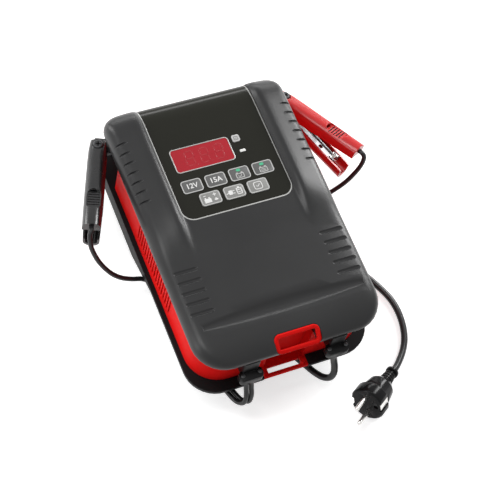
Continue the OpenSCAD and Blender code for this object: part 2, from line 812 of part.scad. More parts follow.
module gland_clips() {
    color([0.5, 0.5, 0.5]) for (x = [-gland_x, gland_x], side = [-1, 1])
        translate([x + side * (gland_bar / 2 - 3.4), 1 - cord_out, gland_low + 1])
            cylinder(r = 2.2, h = 1.6, $fn = 24);
}

// ---- battery clamps, each modelled with its pivot at the origin, its jaws along +Y
// A pose holds where the pivot is, how far the clamp is turned, its side and its roll

clamp_z = band_low_z + band_height / 2;
black_pose = [-107.8, 112, -23.2, -1, -3];
red_pose = [112, 113.5, -26, 1, -12.6];
play = 0.05;
tooth_z = lug_thick / 2 + fit_gap;
cover_wall = 2.4;
mouth_y = 12;
nose_high = 9.5;
pivot_high = 15;
handle_end_y = handle_length * cos(handle_angle);
handle_end_mid = handle_length * sin(handle_angle) + 1.5;
handle_end_half = 6.6;
cover_split = 0.4;
plate_half = 6.5;
inner_plate_half = plate_half - plate_thick - fit_gap;
web_z = 7.4;
web_slope = 9;
web_end = 58;
ear_drop = 5;
tooth_pitch = 2.75;
flange_depth = 3;
crimp_y = 62;
strap_hole = 2.4;

// Carries a clamp from its own frame to where it is parked
module place_clamp(pose) {
    translate([pose[0], pose[1], clamp_z]) mirror([pose[3] > 0 ? 1 : 0, 0, 0])
        rotate([0, 0, pose[2]]) rotate([0, pose[4], 0]) children();
}
// The same for one point of a cord's route
function clamp_point(pose, p) =
    let (x = p[0] * cos(pose[4]) + p[2] * sin(pose[4]), z = p[2] * cos(pose[4]) - p[0] * sin(pose[4]))
    let (u = x * cos(pose[2]) - p[1] * sin(pose[2]), v = x * sin(pose[2]) + p[1] * cos(pose[2]))
    [pose[0] - pose[3] * u, pose[1] + v, clamp_z + z];

// One cross-section of a handle: rounded along its top edges
module handle_slab(y, low, high, w, r) {
    translate([0, y, 0]) rotate([90, 0, 0]) linear_extrude(0.4)
        polygon(concat(arc(w / 2 - r, high - r, r, 0, 90), arc(r - w / 2, high - r, r, 90, 180),
            [[-w / 2, low], [w / 2, low]]));
}
// Nose and handle of one half, or with an inset the space inside them, ending short by some length
module handle_hull(inset, short, end_width) {
    w = clamp_width - 2 * inset;
    trim = 1.4 * inset;
    deep = inset > 0 ? 4 : 0;
    top = inset > 0 ? inset + 1 : 0;
    hull() {
        handle_slab(nose_length - inset, tooth_z + 0.4 - deep, nose_high - inset, w - 3, 5 - trim);
        handle_slab(nose_length * 0.55, tooth_z - deep, nose_high + 3.2 - inset, w - 0.6, 6.2 - trim);
        handle_slab(0, cover_split - deep, pivot_high - inset, w, 7.2 - trim);
    }
    hull() {
        handle_slab(0.4, cover_split - deep, pivot_high - inset, w, 7.2 - trim);
        handle_slab(-handle_end_y * 0.55, handle_end_mid * 0.42 - deep, handle_end_mid * 0.55 + 9.6 - top, w,
            7.6 - trim);
        handle_slab(short - handle_end_y, handle_end_mid - handle_end_half - deep,
            handle_end_mid + handle_end_half - top, end_width - 2 * inset, end_width / 2 - 0.6 - trim);
    }
}
grip_count = 5;
grip_pitch = 3.1;
grip_y = 48;
grip_width = 12;
pad_sink = 1.8;
slot_sink = 0.8;
// Flat oval thumb pad with a row of slots across it
module thumb_pad() {
    slope = atan((handle_end_half + 0.45 * handle_end_mid - 9.6) / (0.45 * handle_end_y));
    top = handle_end_mid * 0.55 + 9.6 + (grip_y - 0.55 * handle_end_y) * tan(slope);
    translate([0, -grip_y, top - pad_sink]) rotate([-slope, 0, 0]) {
        linear_extrude(10) polygon(box_points(7, 12, 6.8));
        for (i = [0:grip_count - 1]) translate([0, (i - (grip_count - 1) / 2) * grip_pitch, 0])
            cube([grip_width, 1.3, 2 * slot_sink], center = true);
    }
}
module handle_cover(hole, cut_short, end_width) {
    difference() {
        handle_hull(0, cut_short, end_width);
        handle_hull(cover_wall, cut_short > 0 ? -1 : cover_wall, end_width);
        translate([-plate_half - fit_gap, screw_y - 4, -1])
            cube([2 * (plate_half + fit_gap), nose_length, web_z + fit_gap + 1]);
        translate([-clamp_width, mouth_y, -1]) cube([2 * clamp_width, nose_length, tooth_z + 1]);
        thumb_pad();
        if (hole > 0) translate([0, screw_y, 0]) {
            cylinder(r = hole, h = 20, $fn = 32);
            translate([0, 0, screw_seat]) cylinder(r = screw_cap + fit_gap, h = 10, $fn = 40);
        }
    }
}
screw_y = nose_length - 7;
screw_shank = 2;
screw_cap = 5.7;
screw_seat = nose_high + 1;
module nose_screw() {
    difference() {
        union() {
            translate([0, screw_y, web_z]) cylinder(r = screw_shank, h = screw_seat + 1 - web_z, $fn = 32);
            translate([0, screw_y, screw_seat]) cylinder(r1 = screw_cap, r2 = screw_cap - 1.6, h = 2.4, $fn = 40);
        }
        for (a = [0, 90]) translate([0, screw_y, screw_seat + 2.2]) rotate([0, 0, a])
            cube([5.4, 1.3, 2], center = true);
    }
}

// Side view of a plate's flange: toothed jaw, ear round the rivet, and the strip in the handle
function teeth() = [for (y = [jaw_length:-tooth_pitch:14]) each [[y, tooth_z], [y - tooth_pitch / 2, tooth_z + 1]]];
function web_at(y) = y > -4 ? web_z : web_z + (-4 - y) * tan(web_slope);
module flange_side() {
    difference() {
        polygon(concat([[-web_end, web_at(-web_end)], [-4, web_z], [jaw_length - 3, web_z],
            [jaw_length, web_z - 1.5]], teeth(),
            [[10, tooth_z], [5, -ear_drop + 1], [3, -ear_drop], [-3, -ear_drop], [-5, -ear_drop + 1],
            [-8, web_at(-8) - flange_depth], [-web_end, web_at(-web_end) - flange_depth]]));
        circle(r = rivet_dia / 2 + play, $fn = 48);
    }
}
module web_side() {
    polygon([[-web_end, web_at(-web_end)], [-4, web_z], [jaw_length - 3, web_z],
        [jaw_length - 3, web_z - plate_thick], [-4, web_z - plate_thick],
        [-web_end, web_at(-web_end) - plate_thick]]);
}
module clamp_plate(half) {
    difference() {
        rotate([90, 0, 90]) union() {
            for (side = [-1, 1]) translate([0, 0, side > 0 ? half - plate_thick : -half])
                linear_extrude(plate_thick) flange_side();
            translate([0, 0, -half + plate_thick / 2]) linear_extrude(2 * half - plate_thick) web_side();
        }
        translate([0, -web_end + 18, 0]) cylinder(r = strap_hole, h = 40, $fn = 32);
    }
    for (side = [-1, 1]) translate([side * (half - plate_thick / 2), -crimp_y + 4, web_at(-crimp_y) - 4])
        cube([plate_thick, 7, 5.4], center = true);
}
module rivet() {
    rotate([0, 90, 0]) {
        cylinder(r = rivet_dia / 2, h = 2 * plate_half + 0.4, center = true, $fn = 48);
        for (side = [-1, 1]) translate([0, 0, side * (plate_half + 0.35)])
            cylinder(r = 3.8, h = 0.5, center = true, $fn = 40);
    }
}

// Torsion spring round the rivet, as one unbroken wire with a leg at each end
spring_turns = 3.5;
spring_wire = 1.2;
spring_radius = rivet_dia / 2 + spring_wire / 2 + 0.6;
spring_pitch = 1.75;
spring_leg = 15;
function spring_route() =
    let (n = spring_turns * 8, half = spring_turns * spring_pitch / 2)
    concat([[-half, -spring_leg, spring_radius + 2.4]],
        [for (i = [0:n]) let (a = 90 - 360 * i / 8)
            [-half + spring_pitch * i / 8, spring_radius * cos(a), spring_radius * sin(a)]],
        [[half, -spring_leg / 2.4, -spring_radius]]);

module clamp_upper_cover() { handle_cover(screw_shank + 0.2, 0, clamp_width - 1); }
module clamp_upper_plate() { clamp_plate(plate_half); }
echo(least_gap_spring = least_gap(spring_route(), spring_wire, 6));
module clamp_spring() { tube(spring_route(), spring_wire, 6); }
module clamp_lower_cover() { mirror([0, 0, 1]) handle_cover(0, 4, clamp_width - 3); }
module clamp_lower_plate() { mirror([0, 0, 1]) clamp_plate(inner_plate_half); }

black_plastic = [0.12, 0.12, 0.13];
red_plastic = [0.85, 0.08, 0.08];
steel = [0.75, 0.75, 0.76];
bare_steel = [0.5, 0.5, 0.5];
module black_upper_cover() { color(black_plastic) place_clamp(black_pose) clamp_upper_cover(); }
module black_lower_cover() { color(black_plastic) place_clamp(black_pose) clamp_lower_cover(); }
module black_upper_plate() { color(bare_steel) place_clamp(black_pose) clamp_upper_plate(); }
module black_lower_plate() { color(bare_steel) place_clamp(black_pose) clamp_lower_plate(); }
module black_rivet() { color(steel) place_clamp(black_pose) rivet(); }
module black_spring() { color(steel) place_clamp(black_pose) clamp_spring(); }
module black_screw() { color(steel) place_clamp(black_pose) nose_screw(); }
module red_upper_cover() { color(red_plastic) place_clamp(red_pose) clamp_upper_cover(); }
module red_lower_cover() { color(red_plastic) place_clamp(red_pose) clamp_lower_cover(); }
module red_upper_plate() { color(bare_steel) place_clamp(red_pose) clamp_upper_plate(); }
module red_lower_plate() { color(bare_steel) place_clamp(red_pose) clamp_lower_plate(); }
module red_rivet() { color(steel) place_clamp(red_pose) rivet(); }
module red_spring() { color(steel) place_clamp(red_pose) clamp_spring(); }
module red_screw() { color(steel) place_clamp(red_pose) nose_screw(); }

// Lug in each pocket that the parked jaws bite, entering from the body's side
lug_tip = 4;
lug_near = 15.5;
lug_far = 32.5;
module parking_lugs() {
    color([0.1, 0.1, 0.11]) for (pose = [black_pose, red_pose]) intersection() {
        place_clamp(pose) translate([-lug_tip, lug_near, -lug_thick / 2])
            cube([2 * pocket_radius, lug_far - lug_near, lug_thick]);
        translate([pose[3] * pocket_x, pocket_y, 0]) cylinder(r = pocket_radius - fit_gap, h = rim_z, $fn = 72);
    }
}

// ---- plug: face at its own origin, pins along +Y, cord leaving along -Y

plug_at = [70.5, -192.2, 20.9];
plug_yaw = 122;
plug_tilt = 12;
plug_roll = -60;
plug_body_length = 36;
plug_neck_length = 18;
plug_flat = 16.2;
module place_plug() {
    translate(plug_at) rotate([0, 0, plug_yaw]) rotate([plug_tilt, 0, 0]) children();
}
function plug_point(y) = plug_at + y * [-sin(plug_yaw) * cos(plug_tilt), cos(plug_yaw) * cos(plug_tilt),
    sin(plug_tilt)];
module plug_body() {
    color([0.1, 0.1, 0.11]) place_plug() rotate([0, plug_roll, 0]) difference() {
        rotate([-90, 0, 0]) rotate_extrude($fn = 72) polygon([[0, 0], [plug_dia / 2 - 1.5, 0], [plug_dia / 2, -1.5],
            [plug_dia / 2, -13], [plug_dia / 2 - 2.5, -15], [plug_dia / 2 - 5, -29], [8.5, -plug_body_length],
            [0, -plug_body_length]]);
        for (side = [-1, 1]) {
            translate([-20, -14.2, side > 0 ? plug_flat : -plug_flat - 10]) cube([40, 20, 10]);
            translate([-4.4, -16.2, side > 0 ? plug_flat - 2 : -plug_flat - 2]) cube([8.8, 24, 4]);
            translate([side > 0 ? 13.4 : -23.4, -50, -20]) cube([10, 34, 40]);
        }
        translate([0, -12, plug_flat - 6]) rotate([-90, 0, 0]) cylinder(r = 2.4, h = 20, $fn = 32);
        for (side = [-1, 1]) translate([side * pin_spacing / 2, -10, 0])
            rotate([-90, 0, 0]) cylinder(r = pin_dia / 2 + play, h = 20, $fn = 40);
    }
}
module plug_pins() {
    color([0.8, 0.8, 0.8]) place_plug() rotate([0, plug_roll, 0]) for (side = [-1, 1])
        translate([side * pin_spacing / 2, 0, 0]) rotate([-90, 0, 0]) {
            translate([0, 0, -9.5]) cylinder(r = pin_dia / 2, h = pin_length + 8, $fn = 40);
            translate([0, 0, pin_length - 1.5]) cylinder(r1 = pin_dia / 2, r2 = pin_dia / 2 - 1.2, h = 1.5, $fn = 40);
        }
}
// Earth springs in the two side channels
module plug_earth() {
    color([0.8, 0.8, 0.8]) place_plug() rotate([0, plug_roll, 0]) for (side = [-1, 1])
        translate([-3.4, -15.5, side > 0 ? plug_flat - 1.7 : 0.9 - plug_flat]) cube([6.8, 14.5, 0.8]);
}
neck_ribs = 3;
module plug_neck() {
    tip = mains_dia / 2 + 1;
    color([0.09, 0.09, 0.1]) place_plug() rotate([90, 0, 0]) difference() {
        translate([0, 0, plug_body_length]) union() {
            cylinder(r1 = 6.6, r2 = tip, h = plug_neck_length, $fn = 48);
            for (i = [0:neck_ribs - 1]) translate([0, 0, 3 + i * 3.6]) cylinder(r = 6.9 - 0.5 * i, h = 1.7, $fn = 48);
            translate([0, 0, plug_neck_length - 3]) cylinder(r = 6.6, h = 3, $fn = 48);
        }
    }
}

// ---- cords

function unit(v) = v / norm(v);
function turned(t, i, u) = i == len(t) ? u :
    turned(t, i + 1, concat(u, [unit(u[i - 1] - (u[i - 1] * t[i]) * t[i])]));
function ways(p) = let (n = len(p) - 1)
    [for (i = [0:n]) unit(p[min(i + 1, n)] - p[max(i - 1, 0)])];

// Round tube swept along a route's own points
module tube(p, dia, sides) {
    t = ways(p);
    first = unit(cross(t[0], abs(t[0][2]) > 0.7 ? [1, 0, 0] : [0, 0, 1]));
    u = turned(t, 1, [first]);
    n = len(p);
    polyhedron(points = [for (i = [0:n - 1], k = [0:sides - 1]) let (a = 360 * k / sides, w = cross(t[i], u[i]))
        p[i] + dia / 2 * (cos(a) * u[i] + sin(a) * w)],
        faces = concat([[for (k = [0:sides - 1]) k]], [[for (k = [sides - 1:-1:0]) (n - 1) * sides + k]],
            [for (i = [0:n - 2], k = [0:sides - 1]) let (a = i * sides + k, b = i * sides + (k + 1) % sides)
                [a, a + sides, b]],
            [for (i = [0:n - 2], k = [0:sides - 1]) let (a = i * sides + k, b = i * sides + (k + 1) % sides)
                [b, a + sides, b + sides]]));
}

// One point of a turn round the hub. Rings count clockwise from the middle of the cord-end side.
function corner_sign(q) = q == 0 ? [-1, -1] : q == 1 ? [-1, 1] : q == 2 ? [1, 1] : [1, -1];
function hub_point(k, depth) =
    let (q = floor(k / 6) % 4, j = k % 6, s = corner_sign(q), a = 270 - 90 * q)
    let (w = wind_half_width - depth, l = wind_half_length - depth, r = wind_radius - depth)
    j == 0 ? (q == 0 ? [0, -l] : q == 1 ? [-w, 0] : q == 2 ? [0, l] : [w, 0]) :
    [s[0] * (w - r) + r * cos(a - 22.5 * (j - 1)), s[1] * (l - r) + r * sin(a - 22.5 * (j - 1))];

// Spirals in over the first half of its turns and out over the rest,
// and goes down a layer in the half turn where it reverses
function winding(first, rings, whole, pitch, offset, high, low) = [for (k = [0:rings])
    let (depth = offset + pitch * min(k, whole - k) / 24)
    let (fall = min(max((k - whole / 2 + 6) / 12, 0), 1), p = hub_point(first + k, depth))
    [p[0], p[1], high + (low - high) * fall]];
function with_end(p, step) = concat(p, [p[len(p) - 1] + step]);
// Least space between a wound tube and itself, from points at least half a turn apart
function least_gap(p, dia, half_turn) =
    min([for (i = [0:len(p) - 1], j = [0:len(p) - 1]) if (j >= i + half_turn) norm(p[i] - p[j])]) - dia;

mains_turns = with_end(winding(0, mains_rings, mains_rings, mains_pitch, 0, mains_high_z, mains_low_z),
    [0, -mains_dia, 0]);
black_turns = with_end(winding(5, 24 * lead_turns, lead_rings, lead_pitch, 0, lead_high_z, lead_low_z),
    [0, lead_dia, 0]);
red_turns = with_end(winding(5, lead_rings, lead_rings, lead_pitch, pair_spacing, lead_high_z, lead_low_z),
    [0, -lead_dia, 0]);
mains_end = mains_turns[len(mains_turns) - 1];
black_end = black_turns[len(black_turns) - 1];
red_end = red_turns[len(red_turns) - 1];
echo(least_gap_mains = least_gap(mains_turns, mains_dia, 12));
echo(least_gap_black = least_gap(black_turns, lead_dia, 12));
echo(least_gap_red = least_gap(red_turns, lead_dia, 12));

nose_low = gland_low - gland_bar_height - gland_nose;
mains_out_route = [[gland_x, -cord_out, nose_low], [gland_x, -cord_out, nose_low - 7], [46.2, -148.6, 51.5],
    [47.2, -152.2, 43.5], [46.8, -155.4, 35.2], [44.4, -155.8, 27.6], [40.2, -151.5, 21.6], [35.5, -143, 17.6],
    [30, -131, 15.4], [22, -117, 15.1], [12, -107, 15.1], concat(hub_point(0, 0) + [7, 0], [mains_high_z]),
    mains_turns[0]];
mains_tail_route = [mains_end, mains_end - [0, 7, 0], [74, 40, 7.5],
    [81, 22, 7.4], [95, 0, 5], [113, -24, 3.6], [131, -48, 3.6], [143, -70, 3.6], [150, -89, 3.6],
    [151, -109, 3.6], [146, -130, 3.8], [137, -145, 4.6], plug_point(-plug_body_length - plug_neck_length - 7),
    plug_point(-plug_body_length - plug_neck_length)];

function lead_out(x) = [[x - gland_x, -cord_out, nose_low], [x - gland_x, -cord_out, nose_low - 5],
    [x - 45, -149.5, 54], [x - 45.5, -154.6, 45], [x - 47.5, -156.4, 35.8], [x - 51.5, -150.6, 29],
    [x - 56, -138, 27.4], [x - 61, -119, 27.7], [x - 66.5, -97, 27.75], [x - 69, -80, 27.75]];
black_out_route = concat(lead_out(-pair_spacing / 2), [black_turns[0] - [0, 5, 0], black_turns[0]]);
red_out_route = concat(lead_out(pair_spacing / 2), [red_turns[0] - [0, 5, 0], red_turns[0]]);
handle_end = [0, -handle_end_y - 0.4, handle_end_mid];
black_tail_route = [black_end, black_end + [0, 5, 0], [-71.5, -37, 21.8],
    [-75.5, -21, 22.4], [-83, -8, 24.6], [-94.5, 0, 28.4], [-106.5, 1.6, 32.8], [-117, 3.6, 37.8],
    [-125.5, 7, 44], [-132.5, 12, 51.5], [-138, 17.5, 60], [-141.6, 22.5, 68.5], [-143.6, 27, 76.5],
    [-143.8, 31, 83.6], [-143, 34, 88.4],
    clamp_point(black_pose, handle_end - [0, 5, 0]), clamp_point(black_pose, handle_end)];
red_tail_route = [red_end, red_end - [0, 5, 0], [68, 43, 21.7],
    [74, 32, 22.2], [88, 28, 24], [104, 29.4, 28.3], [117.5, 32, 33.8], [128, 32.8, 40.5],
    [135.4, 32.9, 47.5], [140.9, 33, 55], [145.2, 33.4, 63], [148.4, 33.8, 70], [150.9, 34.6, 76.5],
    [152.8, 36, 82.8], [153.4, 38, 87.6],
    clamp_point(red_pose, handle_end - [0, 5, 0]), clamp_point(red_pose, handle_end)];

module mains_loop() { color(black_plastic) tube(mains_out_route, mains_dia, 8); }
module mains_winding() { color(black_plastic) tube(mains_turns, mains_dia, 6); }
module mains_tail() { color(black_plastic) tube(mains_tail_route, mains_dia, 8); }
module black_lead_loop() { color(black_plastic) tube(black_out_route, lead_dia, 8); }
module black_lead_winding() { color(black_plastic) tube(black_turns, lead_dia, 6); }
module black_lead_tail() { color(black_plastic) tube(black_tail_route, lead_dia, 8); }
module red_lead_loop() { color(black_plastic) tube(red_out_route, lead_dia, 8); }
module red_lead_winding() { color(black_plastic) tube(red_turns, lead_dia, 6); }
module red_lead_tail() { color(black_plastic) tube(red_tail_route, lead_dia, 8); }

rear_flange();
base_pads();
flange_screws();
back_shell();
cord_hub();
mid_frame();
front_shell();
hanger_loop();
hanger_bezel();
control_panel();
panel_trim();
display_window();
window_bezel();
indicator_lenses();
status_led();
key_battery();
key_plug();
key_select();
key_small();
control_board();
key_switches();
display_module();
power_board();
transformer();
transformer_core();
heat_sink();
capacitors();
parking_lugs();
mains_gland();
lead_gland();
gland_clips();
black_upper_cover();
black_upper_plate();
black_rivet();
black_spring();
black_screw();
black_lower_cover();
black_lower_plate();
red_upper_cover();
red_upper_plate();
red_rivet();
red_spring();
red_screw();
red_lower_cover();
red_lower_plate();
mains_loop();
mains_winding();
mains_tail();
plug_body();
plug_neck();
plug_pins();
plug_earth();
black_lead_loop();
black_lead_winding();
black_lead_tail();
red_lead_loop();
red_lead_winding();
red_lead_tail();
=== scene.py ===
import json
import math

import bpy
from mathutils import Matrix, Vector


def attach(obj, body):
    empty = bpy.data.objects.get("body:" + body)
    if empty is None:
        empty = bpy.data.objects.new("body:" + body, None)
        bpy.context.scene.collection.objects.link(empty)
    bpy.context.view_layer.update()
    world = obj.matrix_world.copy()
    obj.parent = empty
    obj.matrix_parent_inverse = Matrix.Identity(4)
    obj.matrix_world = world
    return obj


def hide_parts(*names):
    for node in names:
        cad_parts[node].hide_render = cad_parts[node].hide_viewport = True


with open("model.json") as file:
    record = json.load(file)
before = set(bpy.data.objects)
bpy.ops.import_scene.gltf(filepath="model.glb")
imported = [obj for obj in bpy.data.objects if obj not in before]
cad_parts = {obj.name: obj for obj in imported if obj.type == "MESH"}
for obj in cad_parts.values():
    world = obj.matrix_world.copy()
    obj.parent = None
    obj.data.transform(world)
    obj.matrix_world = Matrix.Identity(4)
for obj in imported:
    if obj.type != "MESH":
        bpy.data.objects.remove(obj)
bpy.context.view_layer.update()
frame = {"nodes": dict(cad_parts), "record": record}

bpy.ops.object.select_all(action="DESELECT")

# --- Viewpoint ---
# A long lens held above the cord end, a little to the left, so that the face, the cord end
# and the left flank all show. The frame is square.
bpy.ops.object.camera_add(location=(-0.4519, -0.5831, 1.3582), rotation=(0.48873, -0.16379, -0.3848))
viewpoint = bpy.context.object
viewpoint.name = "viewpoint"
viewpoint.data.sensor_width = 36
viewpoint.data.lens = 108.03
viewpoint.data.clip_end = 20
bpy.context.scene.camera = viewpoint

# --- Cords ---
# A 7 mm mains cord and two 4.9 mm clamp leads with soft PVC sheaths. Each leaves its gland
# under the crown, runs down to the cord store, winds round the hub in two flat layers and
# comes out on a flank, where it goes to the plug or to its clamp.
hub_half_width, hub_half_length, hub_corner = 0.072, 0.104, 0.040
rings_per_quarter, rings_per_turn = 6, 24


def hub_point(ring, depth):
    """A point of a turn, where rings count clockwise from the middle of the cord end."""
    quarter, step = int(ring // rings_per_quarter) % 4, ring % rings_per_quarter
    wide, long, bend = hub_half_width - depth, hub_half_length - depth, hub_corner - depth
    sides = [(0, -long), (-wide, 0), (0, long), (wide, 0)]
    sx, sy = [(-1, -1), (-1, 1), (1, 1), (1, -1)][quarter]

    def corner(turned):
        angle = math.radians(270 - 90 * quarter - turned)
        return Vector((sx * (wide - bend) + bend * math.cos(angle),
                       sy * (long - bend) + bend * math.sin(angle)))

    if step < 1:
        return Vector(sides[quarter]).lerp(corner(0), step)
    if step <= 5:
        return corner(22.5 * (step - 1))
    return corner(90).lerp(Vector(sides[(quarter + 1) % 4]), step - 5)


def wound(first, rings, whole, pitch, offset, high, low):
    """Turns that spiral in on the upper layer and out again on the lower one."""
    line = []
    steps_per_ring = 3
    for i in range(rings * steps_per_ring + 1):
        k = i / steps_per_ring
        spot = hub_point(first + k, offset + pitch * min(k, whole - k) / rings_per_turn)
        fall = min(max((k - whole / 2) / (2 * rings_per_quarter) + 0.5, 0), 1)
        fall = fall * fall * (3 - 2 * fall)
        line.append(Vector((spot.x, spot.y, high + (low - high) * fall)))
    return line


def eased(points, per_span=8):
    """A smooth line through a free stretch's own points."""
    line = []
    ends = [points[0] * 2 - points[1]] + points + [points[-1] * 2 - points[-2]]
    for a, b, c, d in zip(ends, ends[1:], ends[2:], ends[3:]):
        gaps = [max((q - p).length, 1e-6) ** 0.5 for p, q in ((a, b), (b, c), (c, d))]
        m1 = ((b - a) / gaps[0] - (c - a) / (gaps[0] + gaps[1]) + (c - b) / gaps[1]) * gaps[1]
        m2 = ((c - b) / gaps[1] - (d - b) / (gaps[1] + gaps[2]) + (d - c) / gaps[2]) * gaps[1]
        for i in range(per_span):
            t = i / per_span
            line.append((2 * t ** 3 - 3 * t ** 2 + 1) * b + (t ** 3 - 2 * t ** 2 + t) * m1
                        + (3 * t ** 2 - 2 * t ** 3) * c + (t ** 3 - t ** 2) * m2)
    return line + [points[-1]]


def mm(*rows):
    """Points given in millimetres, in metres."""
    return [Vector(row) / 1000 for row in rows]


def group_sockets(group, inputs, outputs):
    """Gives a shader group its named sockets, and returns its two end nodes."""
    for name, kind, value in inputs:
        socket = group.interface.new_socket(name, in_out="INPUT", socket_type=kind)
        if value is not None:
            socket.default_value = value
    for name, kind in outputs:
        group.interface.new_socket(name, in_out="OUTPUT", socket_type=kind)
    return group.nodes.new("NodeGroupInput"), group.nodes.new("NodeGroupOutput")


def node(tree, kind, **values):
    """A new shader node; capitalised names set its sockets and the others its own settings."""
    made = tree.nodes.new(kind)
    for name, value in values.items():
        if name[0].isupper():
            made.inputs[name.replace("_", " ")].default_value = value
        else:
            setattr(made, name, value)
    return made


# The surface of moulded plastic and sheath: a colour that wanders a little, a fine grain,
# patches polished by handling, and edges that are rounded over and rubbed paler.
moulded_surface = bpy.data.node_groups.new("moulded_surface", "ShaderNodeTree")
into, out = group_sockets(
    moulded_surface,
    [("Place", "NodeSocketVector", None), ("Colour", "NodeSocketColor", (0.1, 0.1, 0.1, 1)),
     ("Second colour", "NodeSocketColor", (0.12, 0.12, 0.12, 1)), ("Patch size", "NodeSocketFloat", 30),
     ("Roughness", "NodeSocketFloat", 0.5), ("Polish", "NodeSocketFloat", 0.1),
     ("Grain size", "NodeSocketFloat", 900), ("Scuffs", "NodeSocketFloat", 0.1),
     ("Worn colour", "NodeSocketColor", (0.2, 0.2, 0.2, 1)), ("Wear", "NodeSocketFloat", 0.5),
     ("Edge radius", "NodeSocketFloat", 0.0005)],
    [("Colour", "NodeSocketColor"), ("Roughness", "NodeSocketFloat"), ("Grain", "NodeSocketFloat"),
     ("Eased edges", "NodeSocketVector")])
tree = moulded_surface
patches = node(tree, "ShaderNodeTexNoise", Detail=3.0)
grain = node(tree, "ShaderNodeTexNoise", Detail=2.0, Roughness=0.6)
scratches = node(tree, "ShaderNodeTexNoise", Scale=160.0, Detail=5.0, Distortion=1.5)
thin = node(tree, "ShaderNodeMapRange", From_Min=0.62, From_Max=0.72)
mix = node(tree, "ShaderNodeMix", data_type="RGBA")
pale = node(tree, "ShaderNodeMix", data_type="RGBA")
worn = node(tree, "ShaderNodeMix", data_type="RGBA")
eased_edge = node(tree, "ShaderNodeBevel", samples=4)
flat = node(tree, "ShaderNodeNewGeometry")
agree = node(tree, "ShaderNodeVectorMath", operation="DOT_PRODUCT")
at_edge = node(tree, "ShaderNodeMapRange", From_Min=0.985, From_Max=0.9)
rubbed = node(tree, "ShaderNodeMath", operation="MULTIPLY")
scuff = node(tree, "ShaderNodeMath", operation="MULTIPLY")
rub = node(tree, "ShaderNodeMath", operation="MULTIPLY_ADD")
centred = node(tree, "ShaderNodeMath", operation="SUBTRACT")
centred.inputs[1].default_value = 0.5
for texture in (patches, grain, scratches):
    tree.links.new(into.outputs["Place"], texture.inputs["Vector"])
tree.links.new(into.outputs["Patch size"], patches.inputs["Scale"])
tree.links.new(into.outputs["Grain size"], grain.inputs["Scale"])
tree.links.new(patches.outputs["Fac"], mix.inputs["Factor"])
tree.links.new(into.outputs["Colour"], mix.inputs["A"])
tree.links.new(into.outputs["Second colour"], mix.inputs["B"])
tree.links.new(scratches.outputs["Fac"], thin.inputs["Value"])
tree.links.new(thin.outputs["Result"], scuff.inputs[0])
tree.links.new(into.outputs["Scuffs"], scuff.inputs[1])
tree.links.new(scuff.outputs["Value"], pale.inputs["Factor"])
tree.links.new(mix.outputs["Result"], pale.inputs["A"])
tree.links.new(into.outputs["Worn colour"], pale.inputs["B"])
tree.links.new(into.outputs["Edge radius"], eased_edge.inputs["Radius"])
tree.links.new(eased_edge.outputs["Normal"], agree.inputs[0])
tree.links.new(flat.outputs["Normal"], agree.inputs[1])
tree.links.new(agree.outputs["Value"], at_edge.inputs["Value"])
tree.links.new(at_edge.outputs["Result"], rubbed.inputs[0])
tree.links.new(into.outputs["Wear"], rubbed.inputs[1])
tree.links.new(rubbed.outputs["Value"], worn.inputs["Factor"])
tree.links.new(pale.outputs["Result"], worn.inputs["A"])
tree.links.new(into.outputs["Worn colour"], worn.inputs["B"])
tree.links.new(worn.outputs["Result"], out.inputs["Colour"])
tree.links.new(eased_edge.outputs["Normal"], out.inputs["Eased edges"])
tree.links.new(patches.outputs["Fac"], centred.inputs[0])
tree.links.new(centred.outputs["Value"], rub.inputs[0])
tree.links.new(into.outputs["Polish"], rub.inputs[1])
tree.links.new(into.outputs["Roughness"], rub.inputs[2])
tree.links.new(rub.outputs["Value"], out.inputs["Roughness"])
tree.links.new(grain.outputs["Fac"], out.inputs["Grain"])


def moulded(name, colour, roughness, second=None, patch_size=30, polish=0.12, grain_size=900,
            grain_depth=0.00006, scuffs=0.03, sheen=0.0, coat=0.0, gloss=0.5, worn=None, wear=0.35,
            edge_radius=0.0005):
    """A moulded plastic, rubber or printed finish, with its own values for the surface group."""
    made = bpy.data.materials.new(name)
    made.use_nodes = True
    tree = made.node_tree
    shader = tree.nodes["Principled BSDF"]
    surface = node(tree, "ShaderNodeGroup", node_tree=moulded_surface)
    surface.inputs["Colour"].default_value = (*colour, 1)
    surface.inputs["Second colour"].default_value = (*(second or [c * 1.18 for c in colour]), 1)
    surface.inputs["Worn colour"].default_value = (*(worn or [c * 1.6 + 0.01 for c in colour]), 1)
    for socket, value in (("Patch size", patch_size), ("Roughness", roughness), ("Polish", polish),
                          ("Grain size", grain_size), ("Scuffs", scuffs), ("Wear", wear),
                          ("Edge radius", edge_radius)):
        surface.inputs[socket].default_value = value
    place = node(tree, "ShaderNodeTexCoord")
    relief = node(tree, "ShaderNodeBump", Distance=grain_depth, Strength=1.0)
    tree.links.new(place.outputs["Object"], surface.inputs["Place"])
    tree.links.new(surface.outputs["Colour"], shader.inputs["Base Color"])
    tree.links.new(surface.outputs["Roughness"], shader.inputs["Roughness"])
    tree.links.new(surface.outputs["Grain"], relief.inputs["Height"])
    tree.links.new(surface.outputs["Eased edges"], relief.inputs["Normal"])
    tree.links.new(relief.outputs["Normal"], shader.inputs["Normal"])
    shader.inputs["Sheen Weight"].default_value = sheen
    shader.inputs["Coat Weight"].default_value = coat
    shader.inputs["Specular IOR Level"].default_value = gloss
    return made


cord_sheath = moulded("cord_sheath", (0.011, 0.011, 0.012), 0.3, grain_size=1400, grain_depth=0.00002,
                      gloss=0.32)


